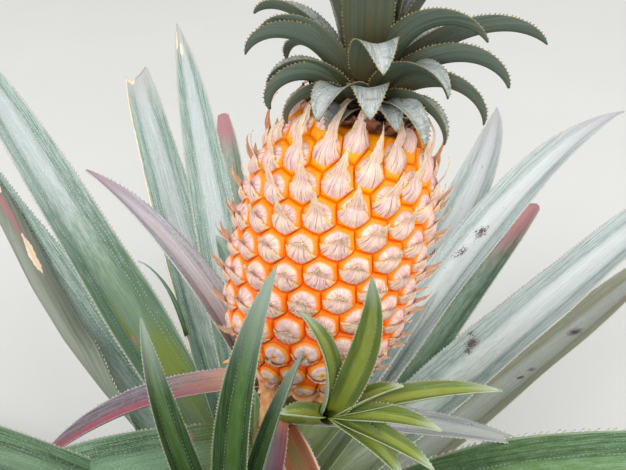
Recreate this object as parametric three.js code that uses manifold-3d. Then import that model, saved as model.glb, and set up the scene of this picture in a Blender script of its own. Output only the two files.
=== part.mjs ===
// A fruiting pineapple plant: a short stem with a rosette of long trough-shaped leaves, a fruit on a
// stalk above the heart, a leafy crown on the fruit, and young slips below it.
// Millimetres, +Z up, +X to the right of the photograph and +Y away from its camera. The origin is the
// centre of the flat cut under the stem.
import * as THREE from 'three';
import { mergeVertices } from 'three/addons/utils/BufferGeometryUtils.js';
import Module from 'manifold-3d';

const wasm = await Module();
wasm.setup();

// Sizes of the stem and of the fruit's stalk
const STEM_FOOT_RADIUS = 24;
const STEM_RADIUS = 32;
const STEM_WIDE_AT = 200;
const STEM_TOP = 256;
const STALK_RADIUS = 11;
const STALK_FOOT = 250;

// Sizes of the fruit: its foot, the lean of its axis, and its egg-shaped body
const FRUIT_FOOT = [24, 14, 338];
const FRUIT_LEAN_RIGHT = 0.23;
const FRUIT_LEAN_BACK = 0.24;
const FRUIT_LENGTH = 166;
const FRUIT_RADIUS = 56;
const FRUIT_BLUNT = 0.61;

// The eyes sit on a spiral, each on the same area of skin
const EYES = 177;
const BARE_END_SHARE = 0.04;
const EYE_TURN = 137.38;
const EYE_START = 306;
const GROOVE_DEPTH = 2.5;
const EYE_RISE = 2;
const EYE_PEAK = 5;
const EYE_FLAT = 0.6;

// Leaves: gap to a neighbour, thickness as a share of the length, and depth of the trough. A blade is
// thickest along the middle and runs out to sharp margins.
const GAP = 0.3;
const THICK_SHARE = 0.0115;
const TROUGH = 0.32;
const SPINE_STEPS = 60;
const LONG = { across: [-1, -0.4, 0.4, 1], stations: [0, 0.1, 0.25, 0.4, 0.55, 0.7, 0.85, 0.95] };
const SHORT = { across: [-1, 0, 1], stations: [0, 0.25, 0.5, 0.72, 0.9] };
const FOOT_CLEARANCE = 0.8;
const MASS_TOLERANCE = 0.4;

// Rosette leaves. az is the direction from above, counted from +X towards +Y; rise and bend are the
// slope at the foot and how much of it is lost by the tip, in degrees; z0 is the height of the foot
// on the stem; turn is a sideways sweep, roll a twist by the tip, face a twist of the whole leaf, and cut
// the share of a broken leaf's outline that is left.
const ROSETTE = {
  leaf_left_upper: { az: 129, rise: 29, bend: 16, length: 560, width: 48, z0: 190, turn: -3 },
  leaf_left_rolled: { az: 138, rise: 31, bend: 13, length: 517, width: 52, z0: 144, turn: -11.5, roll: -20 },
  leaf_back_left_cut: { az: 111, rise: 29, bend: 20, length: 430, width: 40, z0: 195, turn: -4, cut: 0.8 },
  leaf_back_left_tall: { az: 103, rise: 27, bend: 18, length: 460, width: 38, z0: 225 },
  leaf_back_left_dry: { az: 98, rise: 17, bend: 10, length: 440, width: 36, z0: 180, cut: 0.9 },
  leaf_back_right_tall: { az: 53, rise: 16, bend: 24, length: 492, width: 42, z0: 224, turn: 26 },
  leaf_right_upper: { az: 50, rise: 27, bend: 41, length: 527, width: 42, z0: 195, turn: -3 },
  leaf_right_dry: { az: 49, rise: 22, bend: 13, length: 380, width: 34, z0: 152, turn: 4.5, cut: 0.85 },
  leaf_right_middle: { az: 38, rise: 13, bend: 14, length: 600, width: 50, z0: 180, turn: 6 },
  leaf_right_lower: { az: 37, rise: 9, bend: 7, length: 600, width: 48, z0: 135, turn: 5.5, roll: 30 },
  leaf_front_right_wide: { az: -19, rise: 43, bend: 62, length: 440, width: 54, z0: 198 },
  leaf_front_left_high: { az: 208, rise: 61, bend: 36, length: 400, width: 46, z0: 160 },
  leaf_front_1: { az: 232, rise: 46, bend: 34, length: 430, width: 46, z0: 232 },
  leaf_front_2: { az: 262, rise: 43, bend: 32, length: 460, width: 48, z0: 222 },
  leaf_front_3: { az: 293, rise: 46, bend: 36, length: 420, width: 46, z0: 236 },
  leaf_front_4: { az: 320, rise: 41, bend: 34, length: 450, width: 48, z0: 218 },
  leaf_front_5: { az: 246, rise: 30, bend: 24, length: 520, width: 50, z0: 178 },
  leaf_front_6: { az: 278, rise: 28, bend: 26, length: 540, width: 50, z0: 170 },
  leaf_front_7: { az: 306, rise: 30, bend: 28, length: 520, width: 50, z0: 180 },
  leaf_front_8: { az: 226, rise: 15, bend: 22, length: 560, width: 50, z0: 132 },
  leaf_front_9: { az: 259, rise: 11, bend: 20, length: 570, width: 50, z0: 116 },
  leaf_front_10: { az: 291, rise: 12, bend: 24, length: 560, width: 50, z0: 122 },
  leaf_front_11: { az: 324, rise: 14, bend: 24, length: 560, width: 50, z0: 132 },
  leaf_low_front_1: { az: 242, rise: 4, bend: 20, length: 500, width: 46, z0: 76 },
  leaf_low_front_2: { az: 275, rise: 2, bend: 18, length: 480, width: 46, z0: 66 },
  leaf_low_front_3: { az: 308, rise: 3, bend: 20, length: 500, width: 46, z0: 74 },
  leaf_low_right_1: { az: -12, rise: 6, bend: 24, length: 520, width: 48, z0: 106 },
  leaf_low_right_2: { az: 18, rise: 2, bend: 22, length: 500, width: 46, z0: 82 },
  leaf_low_back_1: { az: 60, rise: 6, bend: 14, length: 500, width: 48, z0: 104 },
  leaf_low_back_2: { az: 88, rise: 8, bend: 16, length: 500, width: 48, z0: 128 },
  leaf_low_back_3: { az: 118, rise: 6, bend: 14, length: 520, width: 48, z0: 98 },
  leaf_low_left_1: { az: 172, rise: 2, bend: 14, length: 520, width: 48, z0: 112 },
  leaf_low_left_2: { az: 202, rise: 3, bend: 18, length: 510, width: 46, z0: 92 },
  leaf_low_left_3: { az: 148, rise: -2, bend: 12, length: 480, width: 46, z0: 70 },
  leaf_back_middle_1: { az: 76, rise: 14, bend: 20, length: 440, width: 46, z0: 186 },
  leaf_back_middle_2: { az: 84, rise: 22, bend: 34, length: 330, width: 42, z0: 232 },
};

// Small leaves on the fruit's stalk. z0 is the height of the foot on the stalk.
const STALK_LEAVES = {
  stalk_leaf_left_long: { az: 144, rise: 58, bend: 33, length: 192, width: 24, z0: 308, turn: 17 },
  stalk_leaf_left_red: { az: 159, rise: -22, bend: -2, length: 192, width: 26, z0: 322, turn: 65 },
  stalk_leaf_left_wide: { az: 204, rise: 14, bend: 62, length: 320, width: 50, z0: 276 },
  stalk_leaf_right_purple: { az: -12, rise: 10, bend: 20, length: 155, width: 24, z0: 300 },
  stalk_leaf_front_red: { az: 262, rise: -20, bend: 20, length: 85, width: 20, z0: 306 },
  stalk_leaf_front_brown: { az: 300, rise: -30, bend: 20, length: 80, width: 22, z0: 296 },
  stalk_leaf_back_1: { az: 58, rise: 20, bend: 40, length: 170, width: 24, z0: 296 },
  stalk_leaf_back_2: { az: 108, rise: 16, bend: 40, length: 180, width: 24, z0: 308 },
};

// Young slips: the heart that their leaves start from, where the short stalk starts, and the leaves.
const SLIPS = {
  slip_front_left: {
    from: [-8, -26, 196],
    heart: [-20, -56, 222],
    leaves: [
      { az: 144, rise: 67, bend: 0, length: 182, width: 22, turn: -36 },
      { az: 30, rise: 89, bend: 24, length: 240, width: 26, face: -35 },
      { az: 25, rise: 78, bend: 12, length: 180, width: 20 },
      { az: 208, rise: 54, bend: 30, length: 150, width: 22 },
      { az: 250, rise: 50, bend: 34, length: 150, width: 24 },
      { az: 292, rise: 52, bend: 32, length: 145, width: 22 },
      { az: 332, rise: 56, bend: 30, length: 130, width: 20 },
    ],
  },
  slip_front_right: {
    from: [14, 2, 306],
    heart: [43, -44, 356],
    leaves: [
      { az: 146, rise: 105, bend: 94, length: 77, width: 15, turn: -6 },
      { az: -5, rise: 70, bend: -33, length: 104, width: 18, face: -60, turn: 21 },
      { az: -5, rise: 45, bend: 30, length: 46, width: 13 },
      { az: -4, rise: 24, bend: 26, length: 96, width: 16 },
      { az: -26, rise: 26, bend: 30, length: 66, width: 16 },
      { az: -45, rise: 10, bend: 60, length: 56, width: 15 },
      { az: -36, rise: 10, bend: 30, length: 66, width: 15 },
      { az: 200, rise: 30, bend: 20, length: 28, width: 14 },
    ],
  },
  slip_back_right: {
    from: [20, 12, 306],
    heart: [54, 58, 330],
    leaves: [
      { az: 62, rise: 70, bend: 30, length: 66, width: 15 },
      { az: 98, rise: 48, bend: 34, length: 68, width: 15 },
      { az: 30, rise: 46, bend: 36, length: 56, width: 14 },
      { az: 128, rise: 34, bend: 40, length: 52, width: 13 },
      { az: 66, rise: 30, bend: 44, length: 64, width: 15 },
      { az: -14, rise: 32, bend: 40, length: 40, width: 12 },
    ],
  },
  slip_back_left: {
    from: [10, 12, 290],
    heart: [8, 66, 318],
    leaves: [
      { az: 104, rise: 70, bend: 30, length: 66, width: 15 },
      { az: 138, rise: 46, bend: 36, length: 54, width: 14 },
      { az: 76, rise: 48, bend: 34, length: 66, width: 15 },
      { az: 172, rise: 34, bend: 40, length: 40, width: 12 },
      { az: 110, rise: 30, bend: 44, length: 62, width: 15 },
      { az: 40, rise: 34, bend: 40, length: 44, width: 13 },
    ],
  },
};
const SLIP_STALK_RADIUS = 6;

// Crown leaves: up is the height of the foot on the crown's core, and trough the steepness of a blade's
// two halves
const CROWN_FOOT_RADIUS = 14;
const CROWN_CORE_HEIGHT = 44;
const CROWN_LEAN_RIGHT = 0.08;
const CROWN_LEAN_BACK = 0.18;
const CROWN = [
  { az: 178, rise: 57, bend: 122, length: 74, width: 22, up: 17, trough: 0.75, face: -46 },
  { az: 170, rise: 64, bend: 110, length: 68, width: 24, up: 17, trough: 0.7, face: -24 },
  { az: 150, rise: 58, bend: 100, length: 80, width: 22, up: 16, trough: 0.6, face: -20 },
  { az: 190, rise: 50, bend: 130, length: 57, width: 20, up: 14, trough: 0.6, face: -20 },
  { az: 197, rise: 48, bend: 150, length: 60, width: 19, up: 11, trough: 0.75, face: -44 },
  { az: 208, rise: 42, bend: 145, length: 50, width: 17, up: 9, trough: 0.7, face: -34 },
  { az: 238, rise: 52, bend: 140, length: 52, width: 24, up: 13, trough: 0.3, face: -12 },
  { az: 240, rise: 34, bend: 120, length: 34, width: 16, up: 8, trough: 0.3 },
  { az: 276, rise: 76, bend: 150, length: 62, width: 25, up: 24, trough: 0.3 },
  { az: 270, rise: 58, bend: 140, length: 50, width: 22, up: 13, trough: 0.25 },
  { az: 290, rise: 46, bend: 130, length: 40, width: 17, up: 9, trough: 0.3 },
  { az: 317, rise: 60, bend: 135, length: 61, width: 24, up: 15, trough: 0.45, face: 14 },
  { az: 334, rise: 68, bend: 116, length: 80, width: 25, up: 22, trough: 0.65, face: 28 },
  { az: 2, rise: 44, bend: 84, length: 102, width: 23, up: 15, trough: 0.75, face: 44 },
  { az: 344, rise: 48, bend: 112, length: 82, width: 22, up: 13, trough: 0.75, face: 40 },
  { az: 332, rise: 42, bend: 128, length: 74, width: 20, up: 10, trough: 0.75, face: 36 },
  { az: 314, rise: 36, bend: 132, length: 60, width: 17, up: 9, trough: 0.7, face: 30 },
  { az: 300, rise: 40, bend: 128, length: 58, width: 16, up: 9, trough: 0.35 },
  { az: 20, rise: 60, bend: 50, length: 130, width: 28, up: 26, trough: 0.5, face: 20 },
  { az: 164, rise: 74, bend: 56, length: 120, width: 26, up: 28, trough: 0.5, face: -10 },
  { az: 112, rise: 62, bend: 100, length: 92, width: 22, up: 18, trough: 0.6 },
  { az: 68, rise: 62, bend: 100, length: 94, width: 22, up: 20, trough: 0.6 },
  { az: 42, rise: 46, bend: 120, length: 76, width: 20, up: 12, trough: 0.6 },
  { az: 90, rise: 42, bend: 130, length: 66, width: 20, up: 10, trough: 0.6 },
  { az: 134, rise: 42, bend: 130, length: 68, width: 19, up: 11, trough: 0.6 },
];
// The inmost leaves stand upright in a spiral
const GOLDEN_ANGLE = 137.5;
const CROWN_HEART_LEAVES = 8;
const CROWN_HEART_START = 262;

const radians = (degrees) => (degrees * Math.PI) / 180;
const clamp = (value) => Math.min(1, Math.max(0, value));
const vector = (list) => new THREE.Vector3(...list);

// A frame whose third axis leans to the right and back from upright
function leaningFrame(right, back, place) {
  const up = new THREE.Vector3(right, back, Math.sqrt(1 - right * right - back * back));
  const side = new THREE.Vector3(0, 1, 0).cross(up).normalize();
  const away = up.clone().cross(side);
  return new THREE.Matrix4().makeBasis(side, away, up).setPosition(vector(place));
}

const FRUIT_FRAME = leaningFrame(FRUIT_LEAN_RIGHT, FRUIT_LEAN_BACK, FRUIT_FOOT);
const FRUIT_TOP = new THREE.Vector3(0, 0, FRUIT_LENGTH).applyMatrix4(FRUIT_FRAME);
const CROWN_FRAME = leaningFrame(CROWN_LEAN_RIGHT, CROWN_LEAN_BACK, FRUIT_TOP.toArray());

function stemRadius(z) {
  return STEM_FOOT_RADIUS + (STEM_RADIUS - STEM_FOOT_RADIUS) * clamp(z / STEM_WIDE_AT);
}

// Centre of the stalk at a height: it leaves the stem upright and leans out to the fruit's foot
function stalkCentre(z) {
  const share = clamp((z - STALK_FOOT) / (FRUIT_FOOT[2] - STALK_FOOT)) ** 1.5;
  return new THREE.Vector3(FRUIT_FOOT[0] * share, FRUIT_FOOT[1] * share, z);
}

function geometryFrom(points, triangles) {
  const geometry = new THREE.BufferGeometry();
  geometry.setAttribute('position', new THREE.Float32BufferAttribute(points.flatMap((p) => p.toArray()), 3));
  geometry.setIndex(triangles);
  return geometry;
}

function solidFrom(geometry) {
  const bare = geometry.clone();
  bare.deleteAttribute('normal');
  bare.deleteAttribute('uv');
  const merged = mergeVertices(bare, 1e-3);
  const vertProperties = merged.attributes.position.array;
  return new wasm.Manifold(
    new wasm.Mesh({ numProp: 3, vertProperties, triVerts: new Uint32Array(merged.index.array) }),
  );
}

function geometryOf(solid) {
  const mesh = solid.getMesh();
  const geometry = new THREE.BufferGeometry();
  geometry.setAttribute('position', new THREE.BufferAttribute(new Float32Array(mesh.vertProperties), 3));
  geometry.setIndex(new THREE.BufferAttribute(new Uint32Array(mesh.triVerts), 1));
  geometry.computeVertexNormals();
  return geometry;
}

function largestPiece(solid) {
  const pieces = solid.decompose();
  return pieces.reduce((best, piece) => (piece.volume() > best.volume() ? piece : best));
}

// Centre line of a leaf with its side and upper directions
function leafSpine(leaf, root) {
  const { az, rise, bend, length, turn = 0, roll = 0, face = 0 } = leaf;
  const heading = (t) => {
    const slope = radians(rise - bend * t * t);
    const bearing = radians(az + turn * t ** 1.5);
    return new THREE.Vector3(
      Math.cos(slope) * Math.cos(bearing),
      Math.cos(slope) * Math.sin(bearing),
      Math.sin(slope),
    );
  };
  const points = [root.clone()];
  for (let i = 0; i < SPINE_STEPS; i += 1) {
    const step = heading((i + 0.5) / SPINE_STEPS).multiplyScalar(length / SPINE_STEPS);
    points.push(points[i].clone().add(step));
  }
  return (t) => {
    const at = t * SPINE_STEPS;
    const low = Math.min(SPINE_STEPS - 1, Math.floor(at));
    const point = points[low].clone().lerp(points[low + 1], at - low);
    const along = heading(t);
    const bearing = radians(az + turn * t ** 1.5);
    const level = new THREE.Vector3(Math.sin(bearing), -Math.cos(bearing), 0);
    const over = level.clone().cross(along);
    const twist = radians(face + roll * t);
    const side = level.clone().multiplyScalar(Math.cos(twist)).addScaledVector(over, Math.sin(twist));
    const up = over.multiplyScalar(Math.cos(twist)).addScaledVector(level, -Math.sin(twist));
    return { point, along, side, up };
  };
}

// Share of the full half width at a share of the length
function leafWidth(t, foot = 0.62, peak = 0.3) {
  const widen = foot + (1 - foot) * Math.sin((clamp(t / peak) * Math.PI) / 2);
  const taper = clamp((t - peak) / (1 - peak));
  return widen * clamp(1 - taper ** 2.3) ** 0.9;
}

// A closed blade: rings of a trough section along the centre line, pointed or cut off at the end.
// grow pushes every face out, for cutting a neighbour clear; foot is the share of the width at the foot.
function bladeGeometry(leaf, root, grow = 0, grid = LONG) {
  const { length, width, cut = 1, foot = 0.62, thick = THICK_SHARE * length, z0, onStem = false } = leaf;
  const { trough = TROUGH } = leaf;
  const spine = leafSpine(leaf, root);
  const broken = cut < 1;
  const shares = broken ? [...grid.stations, 1] : grid.stations;
  const last = shares.length - 1;
  const n = grid.across.length;
  const sides = 2 * n - 2;
  const section = grid.across.map((across) => ({ across, face: 1 }));
  for (let j = n - 2; j > 0; j -= 1) section.push({ across: grid.across[j], face: -1 });
  const points = [];
  shares.forEach((t, ring) => {
    const { point, along, side, up } = spine(t);
    const ends = ring === 0 ? -grow : broken && ring === last ? grow : 0;
    const half = (width / 2) * leafWidth(t * cut, foot);
    for (const { across, face } of section) {
      const margin = Math.abs(across) === 1;
      const lift = half * Math.sin(trough) * Math.abs(across) ** 1.5 - (face < 0 ? thick : 0);
      points.push(
        point
          .clone()
          .addScaledVector(along, ends)
          .addScaledVector(side, half * Math.cos(trough) * across + (margin ? 2 * grow * across : 0))
          .addScaledVector(up, lift + (margin ? grow : face * grow)),
      );
    }
  });
  if (onStem) {
    const { along } = spine(0);
    const reach = stemRadius(z0) + FOOT_CLEARANCE - grow;
    points.slice(0, sides).forEach((p) => p.addScaledVector(along, toCylinder(p, along, reach)));
  }
  const triangles = [];
  for (let ring = 0; ring < last; ring += 1) {
    for (let j = 0; j < sides; j += 1) {
      const a = ring * sides + j;
      const b = ring * sides + ((j + 1) % sides);
      triangles.push(a, b, b + sides, a, b + sides, a + sides);
    }
  }
  const lower = (j) => (j === 0 || j === n - 1 ? j : sides - j);
  const capAt = (start, flip) => {
    for (let j = 0; j < n - 1; j += 1) {
      const quad = [j, j + 1, lower(j + 1), lower(j)].map((corner) => start + corner);
      for (const [a, b, c] of [[quad[0], quad[2], quad[1]], [quad[0], quad[3], quad[2]]]) {
        if (a !== b && b !== c && c !== a) triangles.push(...(flip ? [a, c, b] : [a, b, c]));
      }
    }
  };
  capAt(0, false);
  if (broken) {
    capAt(last * sides, true);
  } else {
    const tip = spine(1);
    points.push(tip.point.addScaledVector(tip.along, grow).addScaledVector(tip.up, -thick / 3));
    for (let j = 0; j < sides; j += 1) {
      triangles.push(last * sides + j, last * sides + ((j + 1) % sides), points.length - 1);
    }
  }
  return geometryFrom(points, triangles);
}

// How far a point has to go along a line to reach an upright cylinder round the origin
function toCylinder(point, along, radius) {
  const a = along.x ** 2 + along.y ** 2;
  const b = point.x * along.x + point.y * along.y;
  const c = point.x ** 2 + point.y ** 2 - radius ** 2;
  return (Math.sqrt(Math.max(0, b * b - a * c)) - b) / a;
}

// Round bar between two points
function barGeometry(from, to, radius, sides = 10) {
  const bar = new THREE.CylinderGeometry(radius, radius, from.distanceTo(to), sides);
  const turn = new THREE.Quaternion().setFromUnitVectors(
    new THREE.Vector3(0, 1, 0),
    to.clone().sub(from).normalize(),
  );
  bar.applyQuaternion(turn);
  const middle = from.clone().add(to).multiplyScalar(0.5);
  bar.translate(middle.x, middle.y, middle.z);
  return bar;
}

function stemGeometry(grow = 0) {
  const profile = [
    [0, 0],
    [STEM_FOOT_RADIUS + grow, 0],
    [STEM_RADIUS + grow, STEM_WIDE_AT],
    [STEM_RADIUS - 6 + grow, STEM_TOP - 14],
    [STALK_RADIUS + 3 + grow, STEM_TOP + grow],
    [0, STEM_TOP + grow],
  ];
  const lathe = new THREE.LatheGeometry(profile.map(([r, z]) => new THREE.Vector2(r, z)), 24);
  return lathe.rotateX(Math.PI / 2);
}

function stalkGeometry(grow = 0) {
  const heights = [STEM_TOP + GAP - grow, 275, 295, 312, 326, FRUIT_FOOT[2] + 6];
  const sides = 12;
  const points = [];
  heights.forEach((z) => {
    const centre = stalkCentre(z);
    for (let j = 0; j < sides; j += 1) {
      const angle = (j / sides) * 2 * Math.PI;
      const radius = STALK_RADIUS + grow;
      points.push(centre.clone().add(new THREE.Vector3(radius * Math.cos(angle), radius * Math.sin(angle), 0)));
    }
  });
  const triangles = [];
  for (let ring = 0; ring < heights.length - 1; ring += 1) {
    for (let j = 0; j < sides; j += 1) {
      const a = ring * sides + j;
      const b = ring * sides + ((j + 1) % sides);
      triangles.push(a, b, b + sides, a, b + sides, a + sides);
    }
  }
  const top = (heights.length - 1) * sides;
  for (let j = 1; j < sides - 1; j += 1) {
    triangles.push(0, j + 1, j, top, top + j, top + j + 1);
  }
  return geometryFrom(points, triangles);
}

// Fruit outline from its foot pole over the side to its top pole, with the skin area below each point
function fruitOutline() {
  const outline = [];
  const steps = 400;
  for (let i = 0; i <= 20; i += 1) outline.push([(fruitRadius(0) * i) / 20, 0]);
  for (let i = 1; i <= steps; i += 1) outline.push([fruitRadius(i / steps), (FRUIT_LENGTH * i) / steps]);
  for (let i = 1; i <= 20; i += 1) outline.push([fruitRadius(1) * (1 - i / 20), FRUIT_LENGTH]);
  const areas = [0];
  for (let i = 1; i < outline.length; i += 1) {
    const [r0, z0] = outline[i - 1];
    const [r1, z1] = outline[i];
    areas.push(areas[i - 1] + Math.PI * (r0 + r1) * Math.hypot(r1 - r0, z1 - z0));
  }
  return { outline, areas };
}

function fruitRadius(u) {
  return FRUIT_RADIUS * (1 - Math.abs((u - 0.5) / FRUIT_BLUNT) ** 3) ** 0.7;
}

const SKIN = fruitOutline();

// Share of the skin's area below an eye: even steps between the bare ends, short steps inside them
function eyeShare(n) {
  const across = 1 - 2 * BARE_END_SHARE;
  if (n < 0) return BARE_END_SHARE * clamp((n + 21.5) / 21.5);
  if (n >= EYES) return 1 - BARE_END_SHARE * clamp((EYES + 20.5 - n) / 21.5);
  return BARE_END_SHARE + (across * (n + 0.5)) / EYES;
}

// Point of the skin at an angle and a share of the skin's area, raised along the skin's normal
function skinPoint(turn, share, raise) {
  const { outline, areas } = SKIN;
  const wanted = clamp(share) * areas[areas.length - 1];
  let i = 1;
  while (i < areas.length - 1 && areas[i] < wanted) i += 1;
  const part = (wanted - areas[i - 1]) / (areas[i] - areas[i - 1]);
  const r = outline[i - 1][0] + (outline[i][0] - outline[i - 1][0]) * part;
  const z = outline[i - 1][1] + (outline[i][1] - outline[i - 1][1]) * part;
  const before = outline[Math.max(0, i - 6)];
  const after = outline[Math.min(outline.length - 1, i + 5)];
  const slope = Math.hypot(after[0] - before[0], after[1] - before[1]);
  const outward = (after[1] - before[1]) / slope;
  const upward = -(after[0] - before[0]) / slope;
  const reach = Math.max(0, r + raise * outward);
  return new THREE.Vector3(reach * Math.cos(turn), reach * Math.sin(turn), z + raise * upward);
}

// The fruit's skin: a flat-topped pyramid of six corners for each eye, grooves between, closed at both ends
function fruitGeometry(grow = 0) {
  const eyeAt = (n) => ({ turn: radians(EYE_START + EYE_TURN * n), share: eyeShare(n) });
  const points = [];
  const corners = new Map();
  const cornerOf = (kind, first) => {
    const key = kind + first;
    if (!corners.has(key)) {
      const others = kind === 'right' ? [8, 21] : [13, 21];
      const start = eyeAt(first);
      let turn = 0;
      let share = start.share;
      for (const step of others) {
        const swing = ((((EYE_TURN * step) % 360) + 540) % 360) - 180;
        turn += radians(swing);
        share += eyeAt(first + step).share;
      }
      corners.set(key, points.length);
      points.push(skinPoint(start.turn + turn / 3, share / 3, grow - GROOVE_DEPTH));
    }
    return corners.get(key);
  };
  const triangles = [];
  for (let n = 0; n < EYES; n += 1) {
    const ring = [
      cornerOf('right', n),
      cornerOf('left', n),
      cornerOf('right', n - 8),
      cornerOf('left', n - 21),
      cornerOf('right', n - 21),
      cornerOf('left', n - 13),
    ];
    const { turn, share } = eyeAt(n);
    const middle = skinPoint(turn, share, grow + EYE_RISE);
    const outer = skinPoint(turn, share, grow + EYE_PEAK + EYE_RISE);
    const lifted = skinPoint(turn, share, EYE_RISE).sub(skinPoint(turn, share, -GROOVE_DEPTH));
    const inner = ring.map((corner) => {
      points.push(points[corner].clone().add(lifted).lerp(middle, 1 - EYE_FLAT));
      return points.length - 1;
    });
    points.push(outer.lerp(middle, 0.25));
    const peak = points.length - 1;
    ring.forEach((corner, j) => {
      const k = (j + 1) % 6;
      triangles.push(corner, ring[k], inner[k], corner, inner[k], inner[j], inner[j], inner[k], peak);
    });
  }
  return geometryFrom(points, closeEnds(points, triangles, grow));
}

// Closes the open rim at each end of the fruit to a point on the axis
function closeEnds(points, triangles, grow) {
  const rim = new Map();
  for (let i = 0; i < triangles.length; i += 3) {
    for (let j = 0; j < 3; j += 1) {
      const a = triangles[i + j];
      const b = triangles[i + ((j + 1) % 3)];
      if (rim.has(`${b},${a}`)) rim.delete(`${b},${a}`);
      else rim.set(`${a},${b}`, [a, b]);
    }
  }
  points.push(new THREE.Vector3(0, 0, -grow), new THREE.Vector3(0, 0, FRUIT_LENGTH + grow));
  const closed = [...triangles];
  for (const [a, b] of rim.values()) {
    const pole = points[a].z < FRUIT_LENGTH / 2 ? points.length - 2 : points.length - 1;
    closed.push(b, a, pole);
  }
  return closed;
}

function crownRoot(leaf) {
  const radius = CROWN_FOOT_RADIUS * (1 - (0.7 * leaf.up) / CROWN_CORE_HEIGHT);
  const bearing = radians(leaf.az);
  const out = new THREE.Vector3(radius * Math.cos(bearing), radius * Math.sin(bearing), 0);
  return new THREE.Vector3(0, 0, leaf.up).applyMatrix4(CROWN_FRAME).add(out);
}

function crownHeart() {
  return Array.from({ length: CROWN_HEART_LEAVES }, (_, i) => ({
    az: CROWN_HEART_START + GOLDEN_ANGLE * i,
    rise: 78 + i,
    bend: 30 - 3 * i,
    length: 128 - 5 * i,
    width: 28 - 1.5 * i,
    up: 28 + 1.5 * i,
  }));
}

function crownSolid() {
  const core = new THREE.CylinderGeometry(5, CROWN_FOOT_RADIUS, CROWN_CORE_HEIGHT + 6, 12);
  core.rotateX(Math.PI / 2).translate(0, 0, CROWN_CORE_HEIGHT / 2 - 3);
  let crown = solidFrom(core.applyMatrix4(CROWN_FRAME));
  for (const leaf of [...CROWN, ...crownHeart()]) {
    const blade = bladeGeometry({ foot: 0.7, thick: 2, ...leaf }, crownRoot(leaf), 0, SHORT);
    crown = crown.add(solidFrom(blade));
  }
  return crown.simplify(MASS_TOLERANCE);
}

function slipSolid(slip, grow = 0) {
  const heart = vector(slip.heart);
  let solid = solidFrom(barGeometry(vector(slip.from), heart, SLIP_STALK_RADIUS + grow));
  for (const leaf of slip.leaves) {
    const short = { foot: 0.6, thick: Math.max(2, 0.012 * leaf.length), ...leaf };
    const bearing = radians(leaf.az);
    const root = new THREE.Vector3(Math.cos(bearing), Math.sin(bearing), 0).multiplyScalar(4).add(heart);
    solid = solid.add(solidFrom(bladeGeometry(short, root, grow, SHORT)));
  }
  return solid;
}

function rosetteRoot(leaf) {
  const reach = stemRadius(leaf.z0) + FOOT_CLEARANCE;
  const bearing = radians(leaf.az);
  return new THREE.Vector3(reach * Math.cos(bearing), reach * Math.sin(bearing), leaf.z0);
}

function stalkRoot(leaf) {
  const bearing = radians(leaf.az);
  const out = new THREE.Vector3(Math.cos(bearing), Math.sin(bearing), 0);
  return stalkCentre(leaf.z0).addScaledVector(out, STALK_RADIUS - 2);
}

const plant = new THREE.Group();
const WOODY = { color: 0x8a7a4a, roughness: 0.9, metalness: 0 };
const FRUIT_SKIN = { color: 0xe8873a, roughness: 0.6, metalness: 0 };
const CROWN_GREEN = { color: 0x5c6a4c, roughness: 0.7, metalness: 0 };
const LEAF_GREEN = { color: 0x8fa393, roughness: 0.65, metalness: 0 };
const LEAF_RED = { color: 0x9a6a66, roughness: 0.65, metalness: 0 };
const SLIP_GREEN = { color: 0x6f7f45, roughness: 0.65, metalness: 0 };

// Every finished solid with its copy that is a gap larger, which later pieces are cut clear of
const placed = [];

function place(name, look, solid, grown) {
  let free = solid;
  for (const other of placed) free = free.subtract(other);
  free = largestPiece(free.simplify(0.1));
  const mesh = new THREE.Mesh(geometryOf(free), new THREE.MeshStandardMaterial(look));
  mesh.name = name;
  plant.add(mesh);
  if (grown) placed.push(grown);
}

place('stem', WOODY, solidFrom(stemGeometry()), solidFrom(stemGeometry(GAP)));
const fruit = (grow) => solidFrom(fruitGeometry(grow).applyMatrix4(FRUIT_FRAME));
place('fruit', FRUIT_SKIN, fruit(0), fruit(GAP));
place('stalk', WOODY, solidFrom(stalkGeometry()), solidFrom(stalkGeometry(GAP)));
place('crown', CROWN_GREEN, crownSolid());

for (const [name, slip] of Object.entries(SLIPS)) {
  place(name, SLIP_GREEN, slipSolid(slip).simplify(MASS_TOLERANCE), slipSolid(slip, GAP + MASS_TOLERANCE));
}
for (const [name, leaf] of Object.entries(STALK_LEAVES)) {
  const blade = (grow) => solidFrom(bladeGeometry({ foot: 0.8, ...leaf }, stalkRoot(leaf), grow));
  place(name, LEAF_RED, blade(0), blade(GAP));
}
for (const [name, leaf] of Object.entries(ROSETTE)) {
  const blade = (grow) => solidFrom(bladeGeometry({ onStem: true, ...leaf }, rosetteRoot(leaf), grow));
  place(name, LEAF_GREEN, blade(0), blade(GAP));
}

export default plant;
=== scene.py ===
"""A fruiting pineapple plant in a plain studio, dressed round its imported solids.

Every leaf is a thin channelled blade with thorns along its margins, and the fruit is a spiral of domed
eyes, each half covered by a papery bract. The leaves, eyes and crown follow the same rule as the solids,
carried to a finer mesh. Tables and rules are in millimetres, and meshes in metres.
"""

import math

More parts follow.
